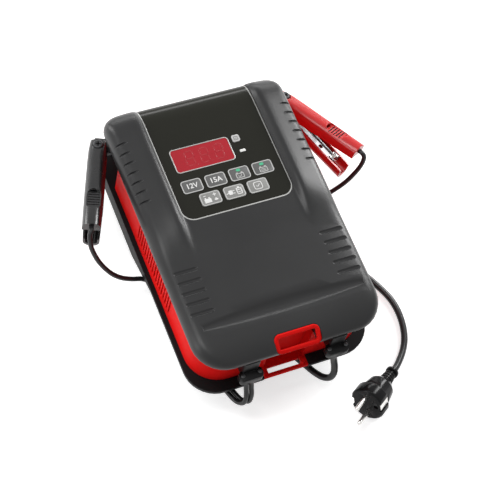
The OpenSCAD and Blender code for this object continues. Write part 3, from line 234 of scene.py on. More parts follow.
def lay_cord(name, line, diameter, nodes):
    """A round cord along a line, carried by the housing in place of the parts it stands for."""
    curve = bpy.data.curves.new(name, "CURVE")
    curve.dimensions = "3D"
    curve.bevel_depth = diameter / 2
    curve.bevel_resolution = 5
    curve.use_fill_caps = True
    run = curve.splines.new("POLY")
    run.points.add(len(line) - 1)
    for point, spot in zip(run.points, line):
        point.co = (*spot, 1)
    run.use_smooth = True
    piece = bpy.data.objects.new(name, curve)
    bpy.context.scene.collection.objects.link(piece)
    curve.materials.append(cord_sheath)
    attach(piece, "housing")
    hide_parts(*nodes)


# The mains cord: down from its gland, round the hub, out on the right flank and on to the plug
gland_x, cord_out, nose_low = 45, 146.6, 66.3
mains_thick, mains_rings, mains_pitch = 0.007, 65, 0.0076
mains_high, mains_low = 0.0151, 0.0075
mains_turns = wound(0, mains_rings, mains_rings, mains_pitch, 0, mains_high, mains_low)
mains_out = mm((gland_x, -cord_out, nose_low), (gland_x, -cord_out, nose_low - 7), (46.2, -148.6, 51.5),
               (47.2, -152.2, 43.5), (46.8, -155.4, 35.2), (44.4, -155.8, 27.6), (40.2, -151.5, 21.6),
               (35.5, -143, 17.6), (30, -131, 15.4), (22, -117, 15.1), (12, -107, 15.1), (7, -104, 15.1),
               (0, -104, 15.1))
plug_face = Vector((0.0705, -0.1922, 0.0209))
plug_yaw, plug_tilt = math.radians(122), math.radians(12)
plug_way = Vector((-math.sin(plug_yaw) * math.cos(plug_tilt), math.cos(plug_yaw) * math.cos(plug_tilt),
                   math.sin(plug_tilt)))
neck_inside, neck_end = 0.054, 0.061
mains_tail = mm((72, 57, 7.5), (72, 50, 7.5), (74, 40, 7.5), (81, 22, 7.4), (95, 0, 5), (113, -24, 3.6),
                (131, -48, 3.6), (143, -70, 3.6), (150, -89, 3.6), (151, -109, 3.6), (146, -130, 3.8),
                (137, -145, 4.6))
mains_tail += [plug_face - neck_end * plug_way, plug_face - neck_inside * plug_way]
lay_cord("mains_cord", eased(mains_out)[:-1] + mains_turns + eased(mains_turns[-1:] + mains_tail)[1:],
         mains_thick, ["mains_loop", "mains_winding", "mains_tail"])


def lead_out(shift):
    """The way of a clamp lead from the shared gland to the hub, beside the other lead."""
    return mm((shift - gland_x, -cord_out, nose_low), (shift - gland_x, -cord_out, nose_low - 5),
              (shift - 45, -149.5, 54), (shift - 45.5, -154.6, 45), (shift - 47.5, -156.4, 35.8),
              (shift - 51.5, -150.6, 29), (shift - 56, -138, 27.4), (shift - 61, -119, 27.7),
              (shift - 66.5, -97, 27.75), (shift - 69, -80, 27.75))


# Where each clamp is parked: x, y, yaw, side of the body and roll
clamp_pose = {"black": (-0.1078, 0.112, -23.2, -1, -3), "red": (0.112, 0.1135, -26, 1, -12.6)}
clamp_level = 0.07095


def clamp_place(colour):
    """The move that carries a clamp's own frame to where the clamp is parked."""
    x, y, yaw, side, roll = clamp_pose[colour]
    return (Matrix.Translation((x, y, clamp_level)) @ Matrix.Diagonal((-side, 1, 1, 1))
            @ Matrix.Rotation(math.radians(yaw), 4, "Z") @ Matrix.Rotation(math.radians(roll), 4, "Y"))


# The clamp leads: wound side by side above the mains cord, then out on the flank of their own
# clamp and up into the end of its upper handle
handle_length, handle_angle = 0.08, math.radians(13)
handle_end = Vector((0, -handle_length * math.cos(handle_angle) - 0.0004,
                     handle_length * math.sin(handle_angle) + 0.0015))
handle_inside = handle_end - Vector((0, 0.005, 0))
lead_thick, lead_rings, lead_pitch = 0.0049, 60, 0.0122
lead_high, lead_low, red_inset = 0.02775, 0.02165, 0.0055
black_turns = wound(5, 48, lead_rings, lead_pitch, 0, lead_high, lead_low)
red_turns = wound(5, lead_rings, lead_rings, lead_pitch, red_inset, lead_high, lead_low)
black_tail = mm((-71.5, -37, 21.8), (-75.5, -21, 22.4), (-83, -8, 24.6), (-94.5, 0, 28.4),
                (-106.5, 1.6, 32.8), (-117, 3.6, 37.8), (-125.5, 7, 44), (-132.5, 12, 51.5),
                (-138, 17.5, 60), (-141.6, 22.5, 68.5), (-143.6, 27, 76.5), (-143.8, 31, 83.6),
                (-143, 34, 88.4))
red_tail = mm((68, 43, 21.7), (74, 32, 22.2), (88, 28, 24), (104, 29.4, 28.3), (117.5, 32, 33.8),
              (128, 32.8, 40.5), (135.4, 32.9, 47.5), (140.9, 33, 55), (145.2, 33.4, 63), (148.4, 33.8, 70),
              (150.9, 34.6, 76.5), (152.8, 36, 82.8), (153.4, 38, 87.6))
half_gap = 2.75
lead_runs = (("black", black_turns, black_tail, -half_gap, 1, "black_cord"),
             ("red", red_turns, red_tail, half_gap, -1, "red_lead_cord"))
for colour, turns, tail, shift, onward, slot in lead_runs:
    gland_run = lead_out(shift) + [turns[0] - Vector((0, 0.005, 0)), turns[0]]
    clamp_run = [turns[-1] + Vector((0, onward * step, 0)) for step in (0, 0.0049, 0.0099)] + tail
    clamp_run += [clamp_place(colour) @ handle_inside, clamp_place(colour) @ handle_end]
    lay_cord(colour + "_lead", eased(gland_run)[:-1] + turns + eased(clamp_run)[1:], lead_thick,
             [colour + "_lead_loop", colour + "_lead_winding", colour + "_lead_tail"])

# --- Rear flange ---
# The plate that closes the cord store and that the charger lies on. It is moulded in the plain
# dark plastic of the back shell, has two keyholes for a wall and four rubber pads let in flush,
# and is held to the hub by four countersunk screws.
body_of = {part: body for body, parts in frame["record"]["behaviour"]["bodies"].items() for part in parts}


def dress(material, *parts):
    """Gives parts that have only flat faces their finish."""
    for part in parts:
        for held in frame["nodes"][part].material_slots:
            held.material = material


def finished(part, material, angle=32, soften=0.0):
    """A part's own shape with its faces joined, its curves smooth and, if asked, its edges eased."""
    piece = bpy.data.objects.new(part + "_finished", frame["nodes"][part].data.copy())
    bpy.context.scene.collection.objects.link(piece)
    bpy.ops.object.select_all(action="DESELECT")
    piece.select_set(True)
    bpy.context.view_layer.objects.active = piece
    bpy.ops.mesh.customdata_custom_splitnormals_clear()
    bpy.ops.object.mode_set(mode="EDIT")
    bpy.ops.mesh.select_all(action="SELECT")
    bpy.ops.mesh.remove_doubles(threshold=0.00001)
    if soften:
        bpy.ops.mesh.dissolve_limited(angle_limit=math.radians(1))
    bpy.ops.object.mode_set(mode="OBJECT")
    if soften:
        edges = piece.modifiers.new("eased_edges", "BEVEL")
        edges.width = soften / 1000
        edges.segments = 2
        edges.limit_method = "ANGLE"
        edges.angle_limit = math.radians(40)
        bpy.ops.object.modifier_apply(modifier="eased_edges")
    bpy.ops.object.shade_smooth_by_angle(angle=math.radians(angle))
    piece.data.materials.clear()
    piece.data.materials.append(material)
    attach(piece, body_of[part])
    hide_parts(part)


# The surface of a metal part: fine lines left by rolling or brushing, duller stains, and edges
# that have kept their shine.
metal_surface = bpy.data.node_groups.new("metal_surface", "ShaderNodeTree")
into, out = group_sockets(
    metal_surface,
    [("Place", "NodeSocketVector", None), ("Stretch", "NodeSocketVector", (1, 1, 1)),
     ("Line size", "NodeSocketFloat", 500), ("Colour", "NodeSocketColor", (0.6, 0.6, 0.6, 1)),
     ("Stain colour", "NodeSocketColor", (0.3, 0.3, 0.3, 1)), ("Stains", "NodeSocketFloat", 0.3),
     ("Roughness", "NodeSocketFloat", 0.3), ("Edge radius", "NodeSocketFloat", 0.0003)],
    [("Colour", "NodeSocketColor"), ("Roughness", "NodeSocketFloat"), ("Lines", "NodeSocketFloat"),
     ("Eased edges", "NodeSocketVector")])
tree = metal_surface
drawn = node(tree, "ShaderNodeVectorMath", operation="MULTIPLY")
lines = node(tree, "ShaderNodeTexNoise", Detail=3.0)
stains = node(tree, "ShaderNodeTexNoise", Scale=70.0, Detail=5.0, Roughness=0.6)
stained = node(tree, "ShaderNodeMapRange", From_Min=0.5, From_Max=0.72)
amount = node(tree, "ShaderNodeMath", operation="MULTIPLY")
mix = node(tree, "ShaderNodeMix", data_type="RGBA")
dull = node(tree, "ShaderNodeMath", operation="MULTIPLY_ADD")
dull.inputs[1].default_value = 0.22
streak = node(tree, "ShaderNodeMath", operation="MULTIPLY_ADD")
streak.inputs[1].default_value = 0.14
eased_edge = node(tree, "ShaderNodeBevel", samples=4)
tree.links.new(into.outputs["Place"], drawn.inputs[0])
tree.links.new(into.outputs["Stretch"], drawn.inputs[1])
tree.links.new(drawn.outputs["Vector"], lines.inputs["Vector"])
tree.links.new(into.outputs["Line size"], lines.inputs["Scale"])
tree.links.new(into.outputs["Place"], stains.inputs["Vector"])
tree.links.new(stains.outputs["Fac"], stained.inputs["Value"])
tree.links.new(stained.outputs["Result"], amount.inputs[0])
tree.links.new(into.outputs["Stains"], amount.inputs[1])
tree.links.new(amount.outputs["Value"], mix.inputs["Factor"])
tree.links.new(into.outputs["Colour"], mix.inputs["A"])
tree.links.new(into.outputs["Stain colour"], mix.inputs["B"])
tree.links.new(mix.outputs["Result"], out.inputs["Colour"])
tree.links.new(amount.outputs["Value"], dull.inputs[0])
tree.links.new(into.outputs["Roughness"], dull.inputs[2])
tree.links.new(lines.outputs["Fac"], streak.inputs[0])
tree.links.new(dull.outputs["Value"], streak.inputs[2])
tree.links.new(streak.outputs["Value"], out.inputs["Roughness"])
tree.links.new(lines.outputs["Fac"], out.inputs["Lines"])
tree.links.new(into.outputs["Edge radius"], eased_edge.inputs["Radius"])
tree.links.new(eased_edge.outputs["Normal"], out.inputs["Eased edges"])


def metal(name, colour, roughness, stretch=(1, 1, 1), line_size=500, stain=None, stains=0.35,
          line_depth=0.00002, edge_radius=0.0003):
    """A rolled, brushed or plated metal, with its own values for the surface group."""
    made = bpy.data.materials.new(name)
    made.use_nodes = True
    tree = made.node_tree
    shader = tree.nodes["Principled BSDF"]
    shader.inputs["Metallic"].default_value = 1.0
    surface = node(tree, "ShaderNodeGroup", node_tree=metal_surface)
    surface.inputs["Stretch"].default_value = stretch
    surface.inputs["Colour"].default_value = (*colour, 1)
    surface.inputs["Stain colour"].default_value = (*(stain or [c * 0.55 for c in colour]), 1)
    for socket, value in (("Line size", line_size), ("Stains", stains), ("Roughness", roughness),
                          ("Edge radius", edge_radius)):
        surface.inputs[socket].default_value = value
    place = node(tree, "ShaderNodeTexCoord")
    relief = node(tree, "ShaderNodeBump", Distance=line_depth, Strength=1.0)
    tree.links.new(place.outputs["Object"], surface.inputs["Place"])
    tree.links.new(surface.outputs["Colour"], shader.inputs["Base Color"])
    tree.links.new(surface.outputs["Roughness"], shader.inputs["Roughness"])
    tree.links.new(surface.outputs["Lines"], relief.inputs["Height"])
    tree.links.new(surface.outputs["Eased edges"], relief.inputs["Normal"])
    tree.links.new(relief.outputs["Normal"], shader.inputs["Normal"])
    return made


soft_touch = moulded("soft_touch", (0.014, 0.014, 0.0145), 0.34, second=(0.019, 0.019, 0.0195), patch_size=14,
                     grain_size=2600, grain_depth=0.00003, scuffs=0.02, gloss=0.3, worn=(0.05, 0.05, 0.052),
                     wear=0.3, edge_radius=0.0007)
lower_plastic = moulded("lower_plastic", (0.008, 0.008, 0.0085), 0.5, second=(0.012, 0.012, 0.0125),
                        patch_size=14, grain_size=2600, grain_depth=0.00003, scuffs=0.03, gloss=0.07,
                        worn=(0.03, 0.03, 0.032), wear=0.3, edge_radius=0.0007)
pad_rubber = moulded("pad_rubber", (0.012, 0.012, 0.012), 0.75, patch_size=90, grain_size=1800,
                     grain_depth=0.00008, scuffs=0.12, sheen=0.1)
zinc = metal("zinc_plate", (0.62, 0.62, 0.6), 0.3, line_size=900, stain=(0.36, 0.35, 0.31))
finished("rear_flange", lower_plastic, soften=0.6)
finished("base_pads", pad_rubber)
finished("flange_screws", zinc)

# --- Cord hub and back shell ---
# The stepped hub that the cords wind on, and the back half of the housing over it: one deep
# tray with a rolled lower edge, deeper under the display, in the flange's plain dark plastic.
finished("cord_hub", lower_plastic)
finished("back_shell", lower_plastic, angle=30)

# --- Power board and its parts ---
# A green glass-fibre board on four posts. It carries the transformer with its wound coil and
# laminated core, a finned aluminium heat sink and three sleeved capacitors.
circuit_board = bpy.data.materials.new("circuit_board")
circuit_board.use_nodes = True
tree = circuit_board.node_tree
lacquer = tree.nodes["Principled BSDF"]
lacquer.inputs["Coat Weight"].default_value = 0.3
place = node(tree, "ShaderNodeTexCoord")
tracks = node(tree, "ShaderNodeTexBrick", Scale=90.0, Mortar_Size=0.045, Color1=(0.012, 0.1, 0.035, 1),
              Color2=(0.016, 0.12, 0.045, 1), Mortar=(0.03, 0.22, 0.08, 1))
pads = node(tree, "ShaderNodeTexVoronoi", Scale=210.0)
tinned = node(tree, "ShaderNodeMapRange", From_Min=0.16, From_Max=0.12)
mix = node(tree, "ShaderNodeMix", data_type="RGBA")
mix.inputs["B"].default_value = (0.6, 0.6, 0.57, 1)
gloss = node(tree, "ShaderNodeMapRange", To_Min=0.42, To_Max=0.25)
relief = node(tree, "ShaderNodeBump", Distance=0.00008)
tree.links.new(place.outputs["Object"], tracks.inputs["Vector"])
tree.links.new(place.outputs["Object"], pads.inputs["Vector"])
tree.links.new(pads.outputs["Distance"], tinned.inputs["Value"])
tree.links.new(tinned.outputs["Result"], mix.inputs["Factor"])
tree.links.new(tracks.outputs["Color"], mix.inputs["A"])
tree.links.new(mix.outputs["Result"], lacquer.inputs["Base Color"])
tree.links.new(tinned.outputs["Result"], lacquer.inputs["Metallic"])
tree.links.new(tinned.outputs["Result"], gloss.inputs["Value"])
tree.links.new(gloss.outputs["Result"], lacquer.inputs["Roughness"])
tree.links.new(tracks.outputs["Fac"], relief.inputs["Height"])
tree.links.new(relief.outputs["Normal"], lacquer.inputs["Normal"])

copper_wire = metal("copper_wire", (0.72, 0.3, 0.13), 0.32, stretch=(0.15, 0.15, 9), line_size=420,
                    stain=(0.4, 0.15, 0.06), line_depth=0.0003)
core_sheets = metal("core_sheets", (0.2, 0.2, 0.21), 0.5, stretch=(0.1, 12, 0.1), line_size=260,
                    stain=(0.16, 0.1, 0.06), stains=0.5, line_depth=0.00015)
drawn_aluminium = metal("drawn_aluminium", (0.68, 0.69, 0.7), 0.34, stretch=(14, 0.2, 14), line_size=300)
capacitor_sleeve = moulded("capacitor_sleeve", (0.012, 0.016, 0.04), 0.3, patch_size=60, grain_size=700,
                           grain_depth=0.00002, scuffs=0.05, coat=0.4)
dress(circuit_board, "power_board")
finished("transformer", copper_wire, soften=0.8)
dress(core_sheets, "transformer_core")
dress(drawn_aluminium, "heat_sink")
finished("capacitors", capacitor_sleeve, soften=1.0)

# --- Red band ---
# The band between the two shells, moulded in glossy red with eighteen vents on each flank and a
# corner pocket beside each end of the display, where a clamp parks. A thin red screen stands just
# inside each row of vents, in a darker red that is painted shade for the inside of the vents.
band_red = moulded("band_red", (0.76, 0.01, 0.01), 0.36, second=(0.82, 0.014, 0.012), patch_size=12,
                   polish=0.1, grain_size=1500, grain_depth=0.000012, scuffs=0.02, gloss=0.01,
                   worn=(0.85, 0.12, 0.1), wear=0.3, edge_radius=0.0006)
# Painted shade: the vent screens are a darker red than the band, for the shade inside the vents.
vent_screen_shaded = moulded("vent_screen_shaded", (0.42, 0.008, 0.008), 0.5, second=(0.5, 0.01, 0.01), patch_size=40,
                      grain_size=1200, grain_depth=0.00005, scuffs=0.05)
clamp_black = moulded("clamp_black", (0.008, 0.008, 0.0085), 0.24, second=(0.012, 0.012, 0.0125),
                      patch_size=30, polish=0.16, grain_size=1300, grain_depth=0.00001, scuffs=0.04,
                      gloss=0.5, worn=(0.07, 0.07, 0.07), wear=0.25)


def plate(name, place, size, low, high, corner=0.0, rim=0.0, turned=0.0):
    """A flat plate in millimetres between two levels, or only its rim if that has a width."""
    bpy.ops.object.select_all(action="DESELECT")
    bpy.ops.mesh.primitive_plane_add(size=0.001, location=(place[0] / 1000, place[1] / 1000, low / 1000),
                                     rotation=(0, 0, math.radians(turned)))
    piece = bpy.context.object
    piece.name = name
    piece.scale = (size[0], size[1], 1)
    bpy.ops.object.transform_apply(location=True, rotation=True, scale=True)
    bpy.ops.object.mode_set(mode="EDIT")
    bpy.ops.mesh.select_all(action="SELECT")
    if corner:
        bpy.ops.mesh.bevel(offset=corner / 1000, segments=5, affect="VERTICES")
        bpy.ops.mesh.select_all(action="SELECT")
    if rim:
        bpy.ops.mesh.inset(thickness=rim / 1000)
        bpy.ops.mesh.delete(type="ONLY_FACE")
        bpy.ops.mesh.select_all(action="SELECT")
    bpy.ops.mesh.extrude_region_move(TRANSFORM_OT_translate={"value": (0, 0, (high - low) / 1000)})
    bpy.ops.mesh.select_all(action="SELECT")
    bpy.ops.mesh.normals_make_consistent(inside=False)
    bpy.ops.object.mode_set(mode="OBJECT")
    return piece


def joined(name, pieces):
    """Several plates made one piece."""
    bpy.ops.object.select_all(action="DESELECT")
    for piece in pieces:
        piece.select_set(True)
    bpy.context.view_layer.objects.active = pieces[0]
    bpy.ops.object.join()
    pieces[0].name = name
    return pieces[0]


def fitted(piece, material, body):
    """Gives a new piece its smooth curves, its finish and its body."""
    bpy.ops.object.select_all(action="DESELECT")
    piece.select_set(True)
    bpy.context.view_layer.objects.active = piece
    bpy.ops.object.shade_smooth_by_angle(angle=math.radians(30))
    piece.data.materials.clear()
    piece.data.materials.append(material)
    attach(piece, body)


finished("mid_frame", band_red, angle=30)
finished("parking_lugs", clamp_black, soften=0.6)
screen_x, screen_y, screen_low, screen_high = 88.0, -9.5, 50.0, 92.0
screen_size = (0.5, 92)
for side, name in ((-1, "left"), (1, "right")):
    screen = plate(name + "_vent_screen_shaded", (side * screen_x, screen_y), screen_size, screen_low, screen_high)
    fitted(screen, vent_screen_shaded, "housing")

# --- Hanging loop ---
# A red tongue that stands out of the recess in the cord end, slotted for a hook, with a short
# pin on its floor, and the red frame let into the shell above it.
finished("hanger_loop", band_red, soften=0.5)
finished("hanger_bezel", band_red, soften=0.7)

# --- Front shell ---
# The crown of the housing in soft-touch plastic: two shoulders beside the display, grip grooves
# and edge notches, a lens-shaped hollow across the cord end, and ends that roll over to the rim.
finished("front_shell", soft_touch, angle=38)

# --- Display panel ---
# A smooth dark face plate, let into the shell inside a thin silver line. It follows the shell
# over the display end. The red window has its own outline, and three unlit digits show in it.
panel_level = 113.0
panel_film = moulded("panel_film", (0.014, 0.014, 0.01), 0.17, second=(0.016, 0.016, 0.012), patch_size=20,
                     polish=0.06, grain_size=2400, grain_depth=0.000004, scuffs=0.03, gloss=0.15,
                     worn=(0.04, 0.04, 0.035), wear=0.2, edge_radius=0.0003)
silver_line = metal("silver_line", (0.36, 0.36, 0.35), 0.34, line_size=1200, stains=0.15, edge_radius=0.0002)
window_red = moulded("window_red", (0.34, 0.012, 0.02), 0.2, second=(0.4, 0.017, 0.028), patch_size=60,
                     polish=0.08, grain_size=2600, grain_depth=0.000004, scuffs=0.02, gloss=0.25, wear=0.0)
digit_red = moulded("digit_red", (0.35, 0.01, 0.018), 0.22, second=(0.4, 0.014, 0.024), patch_size=90,
                    polish=0.05, grain_size=2000, grain_depth=0.000004, scuffs=0.0, wear=0.0)
finished("control_panel", panel_film, angle=25)
finished("panel_trim", silver_line, angle=25)
finished("display_window", window_red)
finished("window_bezel", silver_line, soften=0.12)

# A print or a digit is a thin plate, sunk a little into the face that it lies on
sunk = 0.05
window_x, window_y = -15.1, 73.2
digit_pitch, stroke, slant = 15.4, 1.5, 0.1
strokes = [(0, up, 6.6, stroke) for up in (8, 0, -8)]
strokes += [(across, up, stroke, 6.2) for up in (4, -4) for across in (-4.2, 4.2)]
low, high = panel_level - sunk, panel_level + 0.04
segments = []
for digit in (-1, 0, 1):
    middle = window_x + 2 + digit * digit_pitch
    for across, up, wide, tall in strokes:
        spot = (middle + across + slant * up, window_y + up)
        segments.append(plate("segment", spot, (wide, tall), low, high, corner=0.5))
    segments.append(plate("segment", (middle + 6.2, window_y - 8.4), (1.4, 1.4), low, high, corner=0.6))
fitted(joined("digit_segments", segments), digit_red, "housing")

# --- Symbol windows and lamp ---
# Four frosted windows that light up in the upper row, each with a printed outline. Two carry
# the ratings and two a battery under a green dot. A small white lamp sits beside the display.
frosted_grey = moulded("frosted_grey", (0.085, 0.086, 0.084), 0.4, second=(0.1, 0.1, 0.098), patch_size=70,
                       grain_size=2600, grain_depth=0.000008, scuffs=0.04, wear=0.2, edge_radius=0.0002)
print_pale = moulded("print_pale", (0.5, 0.5, 0.49), 0.45, second=(0.56, 0.56, 0.55), patch_size=150,
                     grain_size=2600, grain_depth=0.00001, scuffs=0.0, wear=0.0)
print_white = moulded("print_white", (0.72, 0.72, 0.71), 0.45, second=(0.78, 0.78, 0.77), patch_size=150,
                      grain_size=2600, grain_depth=0.00001, scuffs=0.0, wear=0.0)
print_green = moulded("print_green", (0.05, 0.4, 0.2), 0.35, second=(0.08, 0.5, 0.28), patch_size=200,
                      grain_size=2600, grain_depth=0.00001, scuffs=0.0, wear=0.0)
lamp_white = moulded("lamp_white", (0.66, 0.66, 0.64), 0.3, patch_size=200, grain_size=2000,
                     grain_depth=0.00001, scuffs=0.0, wear=0.1)
finished("indicator_lenses", frosted_grey, soften=0.15)
finished("status_led", lamp_white, soften=0.15)
lens_level, pitch, upper_row = 113.3, 25, 43.3
outline_width, outline_height = 0.95, 0.08
lens_places = [((i - 1.5) * pitch, upper_row) for i in range(4)]
low, high = lens_level - sunk, lens_level + outline_height
outlines = [plate("outline", spot, (20.9, 14.1), low, high, corner=3, rim=outline_width)
            for spot in lens_places]
fitted(joined("window_outlines", outlines), print_pale, "housing")
for (x, y), words, name in ((lens_places[0], "12V", "volts"), (lens_places[1], "15A", "amperes")):
    bpy.ops.object.select_all(action="DESELECT")
    bpy.ops.object.text_add(location=(x / 1000, y / 1000, lens_level / 1000))
    rating = bpy.context.object
    rating.name = name + "_rating"
    rating.data.body = words
    rating.data.size = 0.0077
    rating.data.align_x = "CENTER"
    rating.data.align_y = "CENTER"
    rating.data.offset = 0.00016
    rating.data.extrude = 0.00008
    bpy.ops.object.convert(target="MESH")
    bpy.ops.object.transform_apply(location=True, rotation=True, scale=True)
    fitted(bpy.context.object, print_white, "housing")
high = lens_level + 0.06
for (x, y), name in ((lens_places[2], "charging"), (lens_places[3], "charged")):
    marks = [plate("mark", (x, y - 2.4), (8.6, 5.4), low, high, corner=0.5, rim=0.8),
             plate("mark", (x - 2.4, y + 0.8), (1.9, 1.2), low, high),
             plate("mark", (x + 2.4, y + 0.8), (1.9, 1.2), low, high)]
    if name == "charging":
        marks += [plate("mark", (x - 1.2, y - 2.9), (2.2, 0.7), low, high, turned=-45),
                  plate("mark", (x + 0.8, y - 2.5), (3.6, 0.7), low, high, turned=50)]
    else:
        marks += [plate("mark", (x, y - down), (5.4, 0.7), low, high) for down in (1.7, 3.2)]
    fitted(joined(name + "_battery_print", marks), print_pale, "housing")
    dot = plate(name + "_green_dot", (x, y + 4.0), (4.6, 3.0), low, high, corner=1.45)
    fitted(dot, print_green, "housing")

# --- Keys ---
# Four keys in pale grey moulded caps that press in on the board's switches: three in the lower
# row and a small square one beside the display. Their symbols are printed on the caps.
key_grey = moulded("key_grey", (0.22, 0.22, 0.212), 0.42, second=(0.25, 0.25, 0.24), patch_size=80,
                   grain_size=2200, grain_depth=0.00001, scuffs=0.05, worn=(0.42, 0.42, 0.41), wear=0.3,
                   edge_radius=0.0003)
key_pale = moulded("key_pale", (0.46, 0.46, 0.45), 0.42, second=(0.5, 0.5, 0.49), patch_size=80,
                   grain_size=2200, grain_depth=0.00001, scuffs=0.05, worn=(0.6, 0.6, 0.58), wear=0.3,
                   edge_radius=0.0003)
key_level, lower_row = 113.8, 25.3
low, high = key_level - sunk, key_level + outline_height
for i, name in ((-1, "battery"), (0, "plug"), (1, "select")):
    finished("key_" + name, key_grey, soften=0.25)
    outline = plate("key_" + name + "_outline", (i * pitch, lower_row), (20.5, 13.7), low, high,
                    corner=2.7, rim=outline_width)
    fitted(outline, print_pale, "key_" + name + "_cap")
finished("key_small", key_pale, soften=0.25)

x, y = -pitch, lower_row
battery_marks = [plate("mark", (x - 3.4, y - 2.2), (7.2, 4.6), low, high, corner=0.5),
                 plate("mark", (x - 5.4, y + 0.7), (1.6, 1.3), low, high),
                 plate("mark", (x - 1.5, y + 0.7), (1.6, 1.3), low, high),
                 plate("mark", (x - 5.4, y + 3.4), (2.4, 0.8), low, high),
                 plate("mark", (x + 4.8, y + 3.2), (3.4, 0.9), low, high),
                 plate("mark", (x + 4.8, y + 3.2), (0.9, 3.4), low, high + 0.01),
                 plate("mark", (x + 5.0, y - 2.6), (3.8, 1.6), low, high, corner=0.7),
                 plate("mark", (x + 5.0, y - 2.2), (1.4, 3.2), low, high + 0.01, corner=0.6)]
fitted(joined("key_battery_print", battery_marks), print_white, "key_battery_cap")
x = 0
plug_marks = [plate("mark", (x - 4.0, y), (4.4, 5.0), low, high, corner=1.4),
              plate("mark", (x - 7.2, y - 0.6), (3.0, 1.0), low, high + 0.01, turned=10),
              plate("mark", (x - 0.9, y + 1.4), (2.6, 0.9), low, high),
              plate("mark", (x - 0.9, y - 1.4), (2.6, 0.9), low, high),
              plate("mark", (x + 5.0, y - 0.2), (5.6, 7.2), low, high, corner=0.6, rim=1.0),
              plate("mark", (x + 5.0, y + 4.0), (2.0, 1.2), low, high),
              plate("mark", (x + 5.0, y + 1.2), (3.0, 0.8), low, high),
              plate("mark", (x + 5.0, y - 1.4), (3.0, 0.8), low, high)]
fitted(joined("key_plug_print", plug_marks), print_white, "key_plug_cap")
x = pitch
select_marks = [plate("mark", (x, y), (9.0, 8.6), low, high, corner=2.4, rim=0.8),
                plate("mark", (x - 1.2, y - 0.7), (2.2, 0.8), low, high, turned=-45),
                plate("mark", (x + 0.7, y), (3.8, 0.8), low, high, turned=50)]
fitted(joined("key_select_print", select_marks), print_white, "key_select_cap")
small_x, small_y = 23.8, 81.9
small_marks = [plate("mark", (small_x, small_y), (4.6, 4.2), low, high, corner=0.6, rim=0.6),
               plate("mark", (small_x, small_y), (2.0, 0.7), low, high)]
print_dark = moulded("print_dark", (0.16, 0.16, 0.16), 0.5, patch_size=150, grain_size=2600,
                     grain_depth=0.00001, scuffs=0.0, wear=0.0)
fitted(joined("key_small_print", small_marks), print_dark, "key_small_cap")

# --- Control board ---
# The board behind the panel hangs on four bosses of the shell. It carries a tact switch under
# each key and the red digit module behind the window.
switch_black = moulded("switch_black", (0.014, 0.014, 0.015), 0.4, patch_size=120, grain_size=1500,
                       scuffs=0.05)
module_red = moulded("module_red", (0.1, 0.008, 0.01), 0.28, patch_size=60, grain_size=1500,
                     grain_depth=0.00002, scuffs=0.05, coat=0.3)
dress(circuit_board, "control_board")
finished("key_switches", switch_black)
dress(module_red, "display_module")

# --- Cord glands ---
# Two strain reliefs screwed under the crown at the cord end: a black moulded block and a bar
# that clamps the cord, each bar held by two dark screws.
gland_black = moulded("gland_black", (0.007, 0.007, 0.0075), 0.34, second=(0.01, 0.01, 0.0105), patch_size=50,
                      grain_size=1600, grain_depth=0.00003, scuffs=0.05, gloss=0.12, worn=(0.04, 0.04, 0.04))
dark_screw = metal("dark_screw", (0.06, 0.06, 0.062), 0.4, line_size=900, stain=(0.06, 0.06, 0.06))
finished("mains_gland", gland_black, soften=0.7)
finished("lead_gland", gland_black, soften=0.7)
finished("gland_clips", dark_screw, soften=0.4)

# --- Battery clamps ---
# One black and one red clamp, each two toothed jaws of bent steel in glossy moulded handles,
# turning on a rivet against a torsion spring. A cross-head screw holds the upper handle's nose,
# the thumb pads are slotted for grip, and bright tabs are folded over inside the lower handle.
clamp_red = moulded("clamp_red", (0.5, 0.01, 0.011), 0.24, second=(0.58, 0.013, 0.014), patch_size=30,
                    polish=0.14, grain_size=1300, grain_depth=0.00001, scuffs=0.03, gloss=0.5,
                    worn=(0.65, 0.1, 0.09), wear=0.3)
jaw_steel = metal("jaw_steel", (0.3, 0.3, 0.31), 0.42, stretch=(6, 0.3, 6), line_size=420,
                  stain=(0.16, 0.155, 0.15), stains=0.5)
nickel = metal("nickel_plate", (0.72, 0.71, 0.69), 0.2, line_size=900, stains=0.25)
spring_steel = metal("spring_steel", (0.34, 0.34, 0.35), 0.3, line_size=1200, stain=(0.18, 0.16, 0.14))
for colour, plastic in (("black", clamp_black), ("red", clamp_red)):
    finished(colour + "_upper_cover", plastic, angle=40)
    finished(colour + "_lower_cover", plastic, angle=40)
    finished(colour + "_upper_plate", jaw_steel, angle=30)
    finished(colour + "_lower_plate", jaw_steel, angle=30)
    finished(colour + "_rivet", nickel, soften=0.12)
    finished(colour + "_spring", spring_steel, angle=60)
    finished(colour + "_screw", dark_screw, soften=0.2)


def parked(piece, colour, half, seat):
    """Carries a piece from its seat on one half of a clamp to where the clamp is parked."""
    bpy.ops.object.select_all(action="DESELECT")
    piece.select_set(True)
    bpy.context.view_layer.objects.active = piece
    piece.matrix_world = clamp_place(colour) @ Matrix.Diagonal((1, 1, half, 1)) @ seat
    bpy.ops.object.transform_apply(location=True, rotation=True, scale=True)
    bpy.ops.object.mode_set(mode="EDIT")
    bpy.ops.mesh.select_all(action="SELECT")
    bpy.ops.mesh.normals_make_consistent(inside=False)
    bpy.ops.object.mode_set(mode="OBJECT")
    return piece
